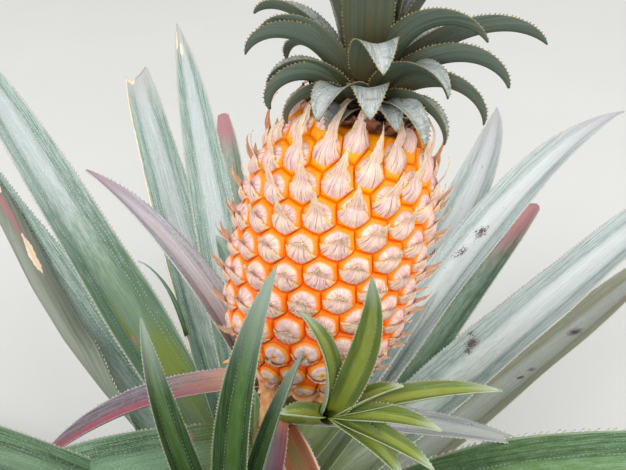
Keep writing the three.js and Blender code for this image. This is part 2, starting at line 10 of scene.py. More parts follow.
import bpy
import numpy as np
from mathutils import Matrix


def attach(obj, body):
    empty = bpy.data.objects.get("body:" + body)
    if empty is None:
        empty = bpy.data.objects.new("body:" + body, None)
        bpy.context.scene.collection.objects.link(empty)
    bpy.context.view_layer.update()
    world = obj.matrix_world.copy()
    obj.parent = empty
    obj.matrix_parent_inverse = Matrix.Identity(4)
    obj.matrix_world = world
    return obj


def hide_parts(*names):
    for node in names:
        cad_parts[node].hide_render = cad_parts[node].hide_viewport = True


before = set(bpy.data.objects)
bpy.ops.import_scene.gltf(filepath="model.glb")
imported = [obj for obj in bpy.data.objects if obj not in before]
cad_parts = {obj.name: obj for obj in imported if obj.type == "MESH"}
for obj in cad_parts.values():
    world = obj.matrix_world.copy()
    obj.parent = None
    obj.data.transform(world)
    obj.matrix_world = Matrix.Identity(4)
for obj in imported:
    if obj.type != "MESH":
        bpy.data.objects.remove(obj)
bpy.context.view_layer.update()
METRES = 0.001

# Sizes of the stem, the fruit's stalk and the fruit, as in the solids
STEM_FOOT_RADIUS = 24
STEM_RADIUS = 32
STEM_WIDE_AT = 200
STEM_TOP = 256
STALK_RADIUS = 11
STALK_FOOT = 250
FRUIT_FOOT = (24, 14, 338)
FRUIT_LEAN = (0.23, 0.24)
FRUIT_LENGTH = 166
FRUIT_RADIUS = 56
FRUIT_BLUNT = 0.61
EYES = 177
BARE_END_SHARE = 0.04
EYE_TURN = 137.38
EYE_START = 306
GROOVE_DEPTH = 2.5
SPINE_STEPS = 60

# How far a rosette leaf's foot stands off the stem, and how deep other feet are sunk
FOOT_CLEARANCE = 0.8
FOOT_SUNK = 2


def blade(az, rise, bend, length, width, **more):
    """One leaf of the tables. az is its direction from above, counted from +X towards +Y, and rise and bend
    are the slope at its foot and how much of it is lost by the tip. More can be z0 or up, the height of its
    foot; turn, a sideways sweep; roll, a twist by the tip; face, a twist of the whole leaf; trough, the
    steepness of its channel; and cut, the share of a broken leaf's outline that is left."""
    return dict(more, az=az, rise=rise, bend=bend, length=length, width=width)


# Rosette leaves, with the heights of their feet on the stem
ROSETTE = {
    "leaf_left_upper": blade(129, 29, 16, 560, 48, z0=190, turn=-3),
    "leaf_left_rolled": blade(138, 31, 13, 517, 52, z0=144, turn=-11.5, roll=-20),
    "leaf_back_left_cut": blade(111, 29, 20, 430, 40, z0=195, turn=-4, cut=0.8),
    "leaf_back_left_tall": blade(103, 27, 18, 460, 38, z0=225),
    "leaf_back_left_dry": blade(98, 17, 10, 440, 36, z0=180, cut=0.9),
    "leaf_back_right_tall": blade(53, 16, 24, 492, 42, z0=224, turn=26),
    "leaf_right_upper": blade(50, 27, 41, 527, 42, z0=195, turn=-3),
    "leaf_right_dry": blade(49, 22, 13, 380, 34, z0=152, turn=4.5, cut=0.85),
    "leaf_right_middle": blade(38, 13, 14, 600, 50, z0=180, turn=6),
    "leaf_right_lower": blade(37, 9, 7, 600, 48, z0=135, turn=5.5, roll=30),
    "leaf_front_right_wide": blade(-19, 43, 62, 440, 54, z0=198),
    "leaf_front_left_high": blade(208, 61, 36, 400, 46, z0=160),
    "leaf_front_1": blade(232, 46, 34, 430, 46, z0=232),
    "leaf_front_2": blade(262, 43, 32, 460, 48, z0=222),
    "leaf_front_3": blade(293, 46, 36, 420, 46, z0=236),
    "leaf_front_4": blade(320, 41, 34, 450, 48, z0=218),
    "leaf_front_5": blade(246, 30, 24, 520, 50, z0=178),
    "leaf_front_6": blade(278, 28, 26, 540, 50, z0=170),
    "leaf_front_7": blade(306, 30, 28, 520, 50, z0=180),
    "leaf_front_8": blade(226, 15, 22, 560, 50, z0=132),
    "leaf_front_9": blade(259, 11, 20, 570, 50, z0=116),
    "leaf_front_10": blade(291, 12, 24, 560, 50, z0=122),
    "leaf_front_11": blade(324, 14, 24, 560, 50, z0=132),
    "leaf_low_front_1": blade(242, 4, 20, 500, 46, z0=76),
    "leaf_low_front_2": blade(275, 2, 18, 480, 46, z0=66),
    "leaf_low_front_3": blade(308, 3, 20, 500, 46, z0=74),
    "leaf_low_right_1": blade(-12, 6, 24, 520, 48, z0=106),
    "leaf_low_right_2": blade(18, 2, 22, 500, 46, z0=82),
    "leaf_low_back_1": blade(60, 6, 14, 500, 48, z0=104),
    "leaf_low_back_2": blade(88, 8, 16, 500, 48, z0=128),
    "leaf_low_back_3": blade(118, 6, 14, 520, 48, z0=98),
    "leaf_low_left_1": blade(172, 2, 14, 520, 48, z0=112),
    "leaf_low_left_2": blade(202, 3, 18, 510, 46, z0=92),
    "leaf_low_left_3": blade(148, -2, 12, 480, 46, z0=70),
    "leaf_back_middle_1": blade(76, 14, 20, 440, 46, z0=186),
    "leaf_back_middle_2": blade(84, 22, 34, 330, 42, z0=232),
}

# Small leaves on the fruit's stalk
STALK_LEAVES = {
    "stalk_leaf_left_long": blade(144, 58, 33, 192, 24, z0=308, turn=17),
    "stalk_leaf_left_red": blade(159, -22, -2, 192, 26, z0=322, turn=65),
    "stalk_leaf_left_wide": blade(204, 14, 62, 320, 50, z0=276),
    "stalk_leaf_right_purple": blade(-12, 10, 20, 155, 24, z0=300),
    "stalk_leaf_front_red": blade(262, -20, 20, 85, 20, z0=306),
    "stalk_leaf_front_brown": blade(300, -30, 20, 80, 22, z0=296),
    "stalk_leaf_back_1": blade(58, 20, 40, 170, 24, z0=296),
    "stalk_leaf_back_2": blade(108, 16, 40, 180, 24, z0=308),
}

# Young slips: where the short stalk starts, the heart that the leaves start from, and the leaves. Those
# that rise more steeply than SLIP_UPRIGHT are a little darker.
SLIPS = {
    "slip_front_left": dict(
        start=(-8, -26, 196),
        heart=(-20, -56, 222),
        leaves=[
            blade(144, 67, 0, 182, 22, turn=-36),
            blade(30, 89, 24, 240, 26, face=-35),
            blade(25, 78, 12, 180, 20),
            blade(208, 54, 30, 150, 22),
            blade(250, 50, 34, 150, 24),
            blade(292, 52, 32, 145, 22),
            blade(332, 56, 30, 130, 20),
        ],
    ),
    "slip_front_right": dict(
        start=(14, 2, 306),
        heart=(43, -44, 356),
        leaves=[
            blade(146, 105, 94, 77, 15, turn=-6),
            blade(-5, 70, -33, 104, 18, face=-60, turn=21),
            blade(-5, 45, 30, 46, 13),
            blade(-4, 24, 26, 96, 16),
            blade(-26, 26, 30, 66, 16),
            blade(-45, 10, 60, 56, 15),
            blade(-36, 10, 30, 66, 15),
            blade(200, 30, 20, 28, 14),
        ],
    ),
    "slip_back_right": dict(
        start=(20, 12, 306),
        heart=(54, 58, 330),
        leaves=[
            blade(62, 70, 30, 66, 15),
            blade(98, 48, 34, 68, 15),
            blade(30, 46, 36, 56, 14),
            blade(128, 34, 40, 52, 13),
            blade(66, 30, 44, 64, 15),
            blade(-14, 32, 40, 40, 12),
        ],
    ),
    "slip_back_left": dict(
        start=(10, 12, 290),
        heart=(8, 66, 318),
        leaves=[
            blade(104, 70, 30, 66, 15),
            blade(138, 46, 36, 54, 14),
            blade(76, 48, 34, 66, 15),
            blade(172, 34, 40, 40, 12),
            blade(110, 30, 44, 62, 15),
            blade(40, 34, 40, 44, 13),
        ],
    ),
}
SLIP_STALK_RADIUS = 6
SLIP_UPRIGHT = 60
SLIP_HEART_RADIUS = 4

# Crown leaves, with the heights of their feet on the crown's core
CROWN_FOOT_RADIUS = 14
CROWN_CORE_HEIGHT = 44
CROWN_LEAN = (0.08, 0.18)
CROWN = [
    blade(178, 57, 122, 74, 22, up=17, trough=0.75, face=-46),
    blade(170, 64, 110, 68, 24, up=17, trough=0.7, face=-24),
    blade(150, 58, 100, 80, 22, up=16, trough=0.6, face=-20),
    blade(190, 50, 130, 57, 20, up=14, trough=0.6, face=-20),
    blade(197, 48, 150, 60, 19, up=11, trough=0.75, face=-44),
    blade(208, 42, 145, 50, 17, up=9, trough=0.7, face=-34),
    blade(238, 52, 140, 52, 24, up=13, trough=0.3, face=-12),
    blade(240, 34, 120, 34, 16, up=8, trough=0.3),
    blade(276, 76, 150, 62, 25, up=24, trough=0.3),
    blade(270, 58, 140, 50, 22, up=13, trough=0.25),
    blade(290, 46, 130, 40, 17, up=9, trough=0.3),
    blade(317, 60, 135, 61, 24, up=15, trough=0.45, face=14),
    blade(334, 68, 116, 80, 25, up=22, trough=0.65, face=28),
    blade(2, 44, 84, 102, 23, up=15, trough=0.75, face=44),
    blade(344, 48, 112, 82, 22, up=13, trough=0.75, face=40),
    blade(332, 42, 128, 74, 20, up=10, trough=0.75, face=36),
    blade(314, 36, 132, 60, 17, up=9, trough=0.7, face=30),
    blade(300, 40, 128, 58, 16, up=9, trough=0.35),
    blade(20, 60, 50, 130, 28, up=26, trough=0.5, face=20),
    blade(164, 74, 56, 120, 26, up=28, trough=0.5, face=-10),
    blade(112, 62, 100, 92, 22, up=18, trough=0.6),
    blade(68, 62, 100, 94, 22, up=20, trough=0.6),
    blade(42, 46, 120, 76, 20, up=12, trough=0.6),
    blade(90, 42, 130, 66, 20, up=10, trough=0.6),
    blade(134, 42, 130, 68, 19, up=11, trough=0.6),
]
GOLDEN_ANGLE = 137.5
CROWN_HEART_LEAVES = 8
CROWN_HEART_START = 262
CROWN_SCALES = 30

# Where a blade's columns of points lie across it, as shares of the half width, and from which of them the
# rolled leaf's margin turns over
HALF_COLUMNS = np.array([-1, -0.96, -0.88, -0.78, -0.68, -0.6, -0.52, -0.42, -0.28, -0.14, 0])
COLUMNS = np.concatenate([HALF_COLUMNS, -HALF_COLUMNS[-2::-1]])
FEW_COLUMNS = np.array([-1, -0.93, -0.75, -0.52, -0.26, 0, 0.26, 0.52, 0.75, 0.93, 1])
CURL_COLUMN = -0.5

# How uneven a blade is: two waves of its width and one of each margin, and its lengthwise folds
WIDTH_WAVE = 0.012
WAVE_LENGTHS = (19, 41, 27, 33)
PLEATS = ((0.52, 1.0), (0.68, -0.7))
PLEAT_WIDTH = 0.07

# A thorn's faces, by the numbers of its corners
THORN_SIDES = ((0, 4, 1), (1, 4, 2), (2, 4, 3), (3, 4, 0), (0, 1, 2), (0, 2, 3))

# Eyes, from the groove to the middle: shares of their size, and heights over the skin. Each of an eye's
# six edges has EDGE_STEPS points, and its face starts at the ring with the number FACE_RING.
EDGE_STEPS = 6
RHO = np.array([1, 0.98, 0.94, 0.9, 0.85, 0.78, 0.7, 0.6, 0.45, 0.27, 0.08])
EYE_HEIGHT = np.array([-1.9, -1.5, -0.7, 0.1, 0.5, 0.4, 0.7, 1.6, 2.5, 3.0, 3.0])
FACE_RING = 5

# Bracts from the foot of the fruit to its top: how far up they clasp an eye and how far their points
# reach, both against half an eye, how far the points stand out in millimetres, and how many degrees
# to each side of an eye's lowest point they are fixed. They are worn down on the side with this bearing.
BRACT_LEVELS = (0, 0.12, 0.24, 0.36, 0.7, 0.86, 0.94, 1)
BRACT_CLASPS = (-0.55, -0.5, -0.3, 0.0, 0.1, 0.2, 0.4, 0.6)
BRACT_TIPS = (-0.2, 0.0, 0.5, 0.85, 1.05, 1.35, 1.9, 2.3)
BRACT_RISES = (5, 5, 8, 9, 9, 9.5, 12, 14)
BRACT_SPANS = (62, 66, 74, 78, 78, 80, 84, 84)
WORN_SIDE = 275
WORN_LEVELS = ((0.08, 0.2, 0.6, 0.75), (0.3, 0.9, 0.9, 0.1))
BRACT_ROWS = 20
BRACT_KNEE = 0.42
BRACT_COLUMNS = np.array([-1, -0.86, -0.66, -0.45, -0.22, 0, 0.22, 0.45, 0.66, 0.86, 1])

# Free papery scales: the half width along one, as a share of the widest, and the rows of them round the
# fruit's two ends, with the share of the skin below their feet, what every other one adds to it, how far
# the feet stand off the skin, and the ranges that each scale is drawn from
SCALE_ROWS = 12
SCALE_PLACES = (0, 0.2, 0.4, 0.6, 0.8, 1)
SCALE_WIDTHS = (0.8, 1, 0.9, 0.46, 0.2, 0.03)
TOP_SCALES = dict(
    count=24, slot=2, share=0.958, step=0.008, raised=-1.0,
    rise=(38, 70), bend=(-20, 10), length=(11, 17), width=(11, 15),
)
FOOT_SCALES = dict(
    count=17, slot=1, share=0.03, step=0.012, raised=0.5,
    rise=(-10, 20), bend=(10, 60), length=(13, 20), width=(13, 17),
)

# One long scale that hangs from the fruit's foot, and the share of the skin below its own foot
HANGING_SCALE = blade(236, -48, 30, 34, 9)
HANGING_SHARE = 0.035

# A strip torn from the left margin of leaf_back_left_cut arches away from it
TORN_STRIP_FOOT = (-67, 125, 260)
TORN_STRIP = blade(141, 78, 95, 80, 4)

# The photograph's camera
PHOTO_WIDTH = 626
FOCAL_PIXELS = 860
SENSOR_WIDTH = 36
CAMERA_PLACE = (0.0340, -0.3825, 0.7278)
CAMERA_PITCH = 36

# The studio: the floor's side in metres, the sky, and each lamp's place, size and power
FLOOR_SIZE = 30.0
SKY_COLOUR = (0.93, 0.96, 1.0, 1.0)
SKY_STRENGTH = 0.96
LIGHT_AIM = (0.0, 0.0, 0.4)
LIGHTS = {
    "key_light": ((-1.4, -1.6, 2.6), 2.0, 51),
    "fill_light": ((1.8, -0.6, 1.8), 1.6, 24),
    "front_light": ((0.2, -2.4, 0.9), 1.6, 13),
}


def clamp(value):
    return np.clip(value, 0.0, 1.0)


def smooth(value):
    """Eases a share from 0 to 1."""
    share = clamp(value)
    return share * share * (3 - 2 * share)


def unit(vectors):
    """Vectors of length 1 along the given ones."""
    return vectors / (np.linalg.norm(vectors, axis=-1, keepdims=True) + 1e-12)


def circle(sides):
    """Even bearings all round."""
    return np.arange(sides) / sides * 2 * math.pi


# Meshes


class Shape:
    """Gathers the points, faces, material numbers and named point values of one piece."""

    def __init__(self):
        self.points = []
        self.faces = []
        self.slots = []
        self.values = []
        self.count = 0

    def add(self, points, faces, slot, **values):
        """Adds points and their faces. slot is a material number for all the faces or one for each."""
        self.add_faces(faces, slot)
        self.points.append(points)
        self.values.append((len(points), values))
        self.count += len(points)

    def add_faces(self, faces, slot, back=0):
        """Adds faces whose point numbers count from the point that is back of the next one."""
        faces = np.asarray(faces)
        self.faces.extend((faces + self.count - back).tolist())
        self.slots.append(np.broadcast_to(np.asarray(slot), (len(faces),)))

    def build(self, name, materials, nodes):
        mesh = bpy.data.meshes.new(name)
        points = np.concatenate(self.points) * METRES
        mesh.from_pydata(points.tolist(), [], self.faces)
        for material in materials:
            mesh.materials.append(material)
        mesh.polygons.foreach_set("material_index", np.concatenate(self.slots).astype(np.int32))
        mesh.polygons.foreach_set("use_smooth", np.ones(len(mesh.polygons), bool))
        for key in sorted({key for _, values in self.values for key in values}):
            attribute = mesh.attributes.new(key, "FLOAT", "POINT")
            parts = [np.broadcast_to(values.get(key, 0.0), (count,)) for count, values in self.values]
            attribute.data.foreach_set("value", np.concatenate(parts).astype(np.float32))
        piece = bpy.data.objects.new(name, mesh)
        bpy.context.scene.collection.objects.link(piece)
        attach(piece, "root")
        if nodes:
            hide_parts(*nodes)


def ring_faces(rings, sides):
    """Quads between closed rings of points, with the first ring's points first."""
    ring = np.arange(rings - 1)[:, None] * sides
    j = np.arange(sides)[None, :]
    k = (j + 1) % sides
    return np.stack([ring + j, ring + k, ring + k + sides, ring + j + sides], -1).reshape(-1, 4)


def sheet(upper, lower):
    """Points and faces of a closed sheet, from the grids of points of its two sides. Its rings run along
    the upper side and back along the lower one, and the faces of its tip come last."""
    rows, columns = upper.shape[:2]
    sides = 2 * columns
    j = np.arange(columns - 1)
    foot = np.stack([j, sides - 1 - j, sides - 2 - j, j + 1], -1)
    tip = foot[:, ::-1] + (rows - 1) * sides
    points = np.concatenate([upper, lower[:, ::-1]], axis=1).reshape(-1, 3)
    return points, np.concatenate([ring_faces(rows, sides), foot, tip])


def sheet_places(columns, shares):
    """Each point's place across a sheet, and its share of the length."""
    both = np.concatenate([columns, columns[::-1]])
    return np.tile(both, len(shares)), np.repeat(shares, len(both))


def tube(centres, radius):
    """Points of level rings round a centre line, from their radii by ring and side."""
    angle = circle(radius.shape[1])
    ring = np.stack([radius * np.cos(angle), radius * np.sin(angle), np.zeros_like(radius)], -1)
    return (centres[:, None] + ring).reshape(-1, 3)


# Leaves


def direction(slope, bearing):
    level = np.cos(slope)
    return np.stack([level * np.cos(bearing), level * np.sin(bearing), np.sin(slope)], -1)


def outward_way(bearing):
    angle = math.radians(bearing)
    return np.array([math.cos(angle), math.sin(angle), 0.0])


def heading(leaf, t):
    slope = np.radians(leaf["rise"] - leaf["bend"] * t * t)
    bearing = np.radians(leaf["az"] + leaf.get("turn", 0) * t**1.5)
    return slope, bearing


def leaf_spine(leaf, root, t):
    """Points of a leaf's centre line at shares t of its length, with its forward, side and upper ways."""
    middles = (np.arange(SPINE_STEPS) + 0.5) / SPINE_STEPS
    steps = direction(*heading(leaf, middles)) * leaf["length"] / SPINE_STEPS
    line = np.vstack([root, root + np.cumsum(steps, axis=0)])
    stations = np.linspace(0, 1, SPINE_STEPS + 1)
    point = np.stack([np.interp(t, stations, line[:, k]) for k in range(3)], -1)
    slope, bearing = heading(leaf, t)
    along = direction(slope, bearing)
    level = np.stack([np.sin(bearing), -np.cos(bearing), np.zeros_like(t)], -1)
    over = np.cross(level, along)
    twist = np.radians(leaf.get("face", 0) + leaf.get("roll", 0) * t)[:, None]
    side = level * np.cos(twist) + over * np.sin(twist)
    up = over * np.cos(twist) - level * np.sin(twist)
    return point, along, side, up


def leaf_width(t, foot, peak=0.3):
    """Share of the full half width at a share of the length."""
    widen = foot + (1 - foot) * np.sin(clamp(t / peak) * math.pi / 2)
    taper = clamp((t - peak) / (1 - peak))
    return widen * clamp(1 - taper**2.3) ** 0.9


def section(columns, half, trough, t, curl):
    """Sideways and upward places of a blade's upper side. curl rolls the left margin up over the trough. Its
    rows hold a share of the length, the fold's place, the turn in degrees, and the reach against the half
    width there."""
    x = np.broadcast_to(columns, (len(half), len(columns))).copy()
    if curl:
        stations, folds, angles, reaches = (np.array(row, float) for row in zip(*curl["rows"]))
        fold = np.interp(t, stations, folds)[:, None]
        angle = np.radians(np.interp(t, stations, angles))[:, None]
        reach = np.interp(t, stations, reaches)[:, None] * half[:, None]
        rolled = columns < CURL_COLUMN
        flat = ~rolled
        x[:, flat] = fold + (columns[flat] - CURL_COLUMN) / (1 - CURL_COLUMN) * (1 - fold)
    across = half[:, None] * np.cos(trough) * x
    lift = half[:, None] * np.sin(trough) * np.abs(x) ** 1.5
    if curl:
        first = int(np.argmax(flat))
        travel = reach * ((CURL_COLUMN - columns[rolled]) / (1 + CURL_COLUMN))[None, :]
        radius = curl["radius"] * (half / half.max())[:, None] + 0.2
        slope = np.arctan(1.5 * math.sin(trough) * np.sqrt(np.abs(fold)) / math.cos(trough)) * (fold < 0)
        turned = np.minimum(travel / radius, angle)
        straight = np.maximum(0, travel - radius * turned)
        out = radius * (np.sin(slope + turned) - np.sin(slope)) + straight * np.cos(slope + turned)
        high = radius * (np.cos(slope) - np.cos(slope + turned)) + straight * np.sin(slope + turned)
        across[:, rolled] = across[:, first : first + 1] - out
        lift[:, rolled] = lift[:, first : first + 1] + high
    return across, lift


def marks(places, values, length):
    """How strongly each point lies in one of some oval marks: share of the length, place across, length in
    millimetres, width across, and side (0 upper, 1 lower)."""
    total = np.zeros(len(values["across"]))
    for share, x, long, wide, side in places:
        away = ((values["along"] - share * length) / long) ** 2 + ((values["across"] - x) / wide) ** 2
        total = np.maximum(total, np.exp(-away) * (values["under"] == side))
    return total


def add_blade(shape, leaf, root, look, rng, onto_stem=False):
    """Adds a closed blade and the thorns along its margins to a shape."""
    columns = look.get("columns", COLUMNS)
    cut = leaf.get("cut", 1.0)
    length = leaf["length"]
    t = np.linspace(0, 1 if cut < 1 else 0.997, int(length / look["row"]) + 2)
    point, along, side, up = leaf_spine(leaf, root, t)
    half = leaf["width"] / 2 * leaf_width(t * cut, look["foot"])
    travelled = t * length
    phase = rng.uniform(0, 2 * math.pi, 4)
    first, second, right, left = (
        np.sin(travelled / wave + start) for wave, start in zip(WAVE_LENGTHS, phase)
    )
    half = half * (1 + WIDTH_WAVE * first + WIDTH_WAVE * second)
    across, lift = section(columns, half, leaf.get("trough", look["trough"]), t, look.get("curl"))
    wave = right[:, None] * (columns[None, :] > 0) + left[:, None] * (columns[None, :] < 0)
    margin = np.abs(columns[None, :]) ** 4
    lift = lift + look["wave"] * margin * wave * clamp(t / 0.2)[:, None]
    pleat = sum(depth * np.exp(-(((np.abs(columns) - x) / PLEAT_WIDTH) ** 2)) for x, depth in PLEATS)
    lift = lift - look["pleat"] * pleat[None, :] * smooth(half / half.max())[:, None]
    upper = point[:, None] + side[:, None] * across[..., None] + up[:, None] * lift[..., None]
    if cut < 1:
        upper = upper - along[:, None] * broken_end(look["broken"], columns, t)[..., None]
    normal = unit(np.cross(np.gradient(upper, axis=1), np.gradient(upper, axis=0)))
    body = look["thick"] * (1 - np.abs(columns) ** 2.5)[None, :] * (0.4 + 0.6 * half / half.max())[:, None]
    lower = upper - normal * (body + look["edge"])[..., None]
    if onto_stem:
        reach = stem_radius(leaf["z0"]) + FOOT_CLEARANCE
        for surface in (upper, lower):
            surface[0] += to_cylinder(surface[0], along[0], reach)[:, None] * along[0]
    points, faces = sheet(upper, lower)
    slots = np.zeros(len(faces), int)
    if cut < 1:
        slots[1 - len(columns) :] = 2
    x, shares = sheet_places(columns, t)
    values = dict(
        across=x,
        side_mm=x * np.repeat(half, 2 * len(columns)),
        along=shares * length,
        share=shares,
        under=np.tile(np.repeat([0.0, 1.0], len(columns)), len(t)),
        seed=rng.uniform(0, 100),
    )
    for key in ("scar", "spot", "warm", "red"):
        values[key] = marks(look.get(key, ()), values, length)
    values["bloom"] = np.interp(shares, *zip(*look["bloom"]))
    values["age"] = look.get("age", 0.0)
    # tone brightens or darkens the whole blade: a small random change, or a given one from the leaf's
    # details, which for some leaves is painted light
    values["tone"] = look.get("tone", rng.uniform(-0.06, 0.06))
    shape.add(points, faces, slots, **values)
    add_margin_thorns(shape, upper, lower, half, look, rng)


def broken_end(depths, columns, t):
    """How far back each point of a broken leaf's end lies: depths are millimetres at even steps across."""
    back = np.interp(columns, np.linspace(-1, 1, len(depths)), depths)
    return back[None, :] * smooth((t - 0.86) / 0.14)[:, None]


def add_margin_thorns(shape, upper, lower, half, look, rng):
    """Adds a row of small forward-pointing thorns to each margin, as closed pyramids of five points."""
    for column, inner, sign in ((-1, -2, 1), (0, 1, -1)):
        if look.get("bare_margin", 0) == sign:
            continue
        top = upper[:, column]
        travelled = np.concatenate([[0], np.cumsum(np.linalg.norm(np.diff(top, axis=0), axis=1))])
        spacing = look["thorn_every"]
        places = np.arange(look["thorn_from"] * travelled[-1], travelled[-1] * 0.985, spacing)
        places = places + rng.uniform(-0.18, 0.18, len(places)) * spacing
        row = np.arange(len(top))
        at = np.interp(places, travelled, row)

        def on_edge(line):
            return np.stack([np.interp(at, row, line[:, k]) for k in range(3)], -1)

        centre_top, centre_low = on_edge(top), on_edge(lower[:, column])
        outward = on_edge(unit(top - upper[:, inner]))
        forward = unit(on_edge(np.gradient(top, axis=0)))
        shrink = np.interp(at, row, clamp(half / (0.35 * half.max())))[:, None]
        tall = look["thorn"] * rng.uniform(0.75, 1.25, len(places))[:, None] * (0.35 + 0.65 * shrink)
        wide = np.minimum(0.42 * spacing, 0.75 * tall + 0.5)
        sunk = outward * 0.5
        corners = [
            centre_top - forward * wide - sunk,
            centre_top + forward * wide - sunk,
            centre_low + forward * wide - sunk,
            centre_low - forward * wide - sunk,
            (centre_top + centre_low) / 2 + outward * tall + forward * (0.9 * tall),
        ]
        start = np.arange(len(places))[:, None] * 5
        faces = np.concatenate([start + np.array(side)[None, :] for side in THORN_SIDES])
        if sign < 0:
            faces = faces[:, ::-1]
        point = np.tile([0.0, 0.0, 0.0, 0.0, 1.0], len(places))
        shape.add(np.stack(corners, 1).reshape(-1, 3), faces, 1, point=point)


# The stem and the fruit's stalk


def stem_radius(z):
    return STEM_FOOT_RADIUS + (STEM_RADIUS - STEM_FOOT_RADIUS) * clamp(z / STEM_WIDE_AT)


def to_cylinder(points, along, radius):
    """How far each point has to go along a line to reach an upright cylinder round the origin."""
    a = along[0] ** 2 + along[1] ** 2
    b = points[:, 0] * along[0] + points[:, 1] * along[1]
    c = points[:, 0] ** 2 + points[:, 1] ** 2 - radius**2
    return (np.sqrt(np.maximum(0, b * b - a * c)) - b) / a


def stalk_centre(z):
    share = clamp((z - STALK_FOOT) / (FRUIT_FOOT[2] - STALK_FOOT)) ** 1.5
    return np.array([FRUIT_FOOT[0] * share, FRUIT_FOOT[1] * share, z])


# The fruit


def leaning_frame(lean, place):
    """Rotation matrix, with the leaning axis third, and place of a frame."""
    right, back = lean
    up = np.array([right, back, math.sqrt(1 - right**2 - back**2)])
    side = np.cross([0, 1, 0], up)
    side /= np.linalg.norm(side)
    return np.stack([side, np.cross(up, side), up], axis=1), np.array(place, float)


def placed(points, leaning):
    matrix, place = leaning
    return points @ matrix.T + place


FRUIT_FRAME = leaning_frame(FRUIT_LEAN, FRUIT_FOOT)
FRUIT_TOP = placed(np.array([0, 0, FRUIT_LENGTH]), FRUIT_FRAME)
CROWN_FRAME = leaning_frame(CROWN_LEAN, FRUIT_TOP)


def fruit_outline():
    """Radius and height along the fruit's outline, and the skin area below each point."""
    u = np.linspace(0, 1, 401)
    radius = FRUIT_RADIUS * (1 - np.abs((u - 0.5) / FRUIT_BLUNT) ** 3) ** 0.7
    inward = np.linspace(0, 1, 21)
    r = np.concatenate([radius[0] * inward, radius[1:], radius[-1] * (1 - inward[1:])])
    z = np.concatenate([np.zeros(21), FRUIT_LENGTH * u[1:], np.full(20, FRUIT_LENGTH)])
    rings = math.pi * (r[1:] + r[:-1]) * np.hypot(np.diff(r), np.diff(z))
    return r, z, np.concatenate([[0], np.cumsum(rings)])


OUTLINE_R, OUTLINE_Z, OUTLINE_AREA = fruit_outline()
SKIN_AREA = OUTLINE_AREA[-1]


def skin_point(turn, share, raised):
    """Points over the fruit's skin: their turn round the fruit, the share of the skin below them, and how
    far they stand off it."""
    index = np.interp(clamp(share) * SKIN_AREA, OUTLINE_AREA, np.arange(len(OUTLINE_AREA)))

    def outline(line, ahead=0.0):
        return np.interp(index + ahead, np.arange(len(line)), line)

    dr = outline(OUTLINE_R, 5.5) - outline(OUTLINE_R, -5.5)
    dz = outline(OUTLINE_Z, 5.5) - outline(OUTLINE_Z, -5.5)
    long = np.hypot(dr, dz)
    reach = np.maximum(0, outline(OUTLINE_R) + raised * dz / long)
    z = outline(OUTLINE_Z) - raised * dr / long
    return placed(np.stack([reach * np.cos(turn), reach * np.sin(turn), z], -1), FRUIT_FRAME)


def eye_share(n):
    """Share of the skin below an eye: even steps between the bare ends, short steps inside them."""
    if n < 0:
        return BARE_END_SHARE * float(clamp((n + 21.5) / 21.5))
    if n >= EYES:
        return 1 - BARE_END_SHARE * float(clamp((EYES + 20.5 - n) / 21.5))
    return BARE_END_SHARE + (1 - 2 * BARE_END_SHARE) * (n + 0.5) / EYES


def eye_corners(n):
    """Turn and share of an eye, and those of its six corners, counted from its middle. A corner lies in the
    middle of three eyes: a first one, and the ones some steps further along the spiral."""
    middle_turn = math.radians(EYE_START + EYE_TURN * n)
    middle_share = eye_share(n)
    corners = []
    for first, steps in (
        (n, (8, 21)),
        (n, (13, 21)),
        (n - 8, (8, 21)),
        (n - 21, (13, 21)),
        (n - 21, (8, 21)),
        (n - 13, (13, 21)),
    ):
        turn = math.radians(EYE_START + EYE_TURN * first)
        share = eye_share(first)
        for step in steps:
            swing = (EYE_TURN * step + 180) % 360 - 180
            turn += math.radians(swing) / 3
            share += eye_share(first + step)
        away = (turn - middle_turn + math.pi) % (2 * math.pi) - math.pi
        corners.append((away, share / 3 - middle_share))
    return middle_turn, middle_share, np.array(corners)


class Eye:
    """One eye's place, size in millimetres and rim, in coordinates sideways and up along the skin."""

    def __init__(self, n):
        self.turn, self.share, corners = eye_corners(n)
        self.radius = float(np.interp(self.share * SKIN_AREA, OUTLINE_AREA, OUTLINE_R))
        self.per_share = SKIN_AREA / (2 * math.pi * self.radius)
        corner = np.stack([corners[:, 0] * self.radius, corners[:, 1] * self.per_share], -1)
        following = np.roll(corner, -1, axis=0)
        step = (np.arange(EDGE_STEPS) / EDGE_STEPS)[None, :, None]
        self.rim = (corner[:, None] * (1 - step) + following[:, None] * step).reshape(-1, 2)
        self.size = float(np.linalg.norm(self.rim, axis=1).mean())
        self.high = float(self.rim[:, 1].max())
        self.half = float(np.abs(self.rim[:, 0]).max())

    def place(self, sideways, upward, raised):
        turn = self.turn + sideways / self.radius
        return skin_point(turn, self.share + upward / self.per_share, raised)


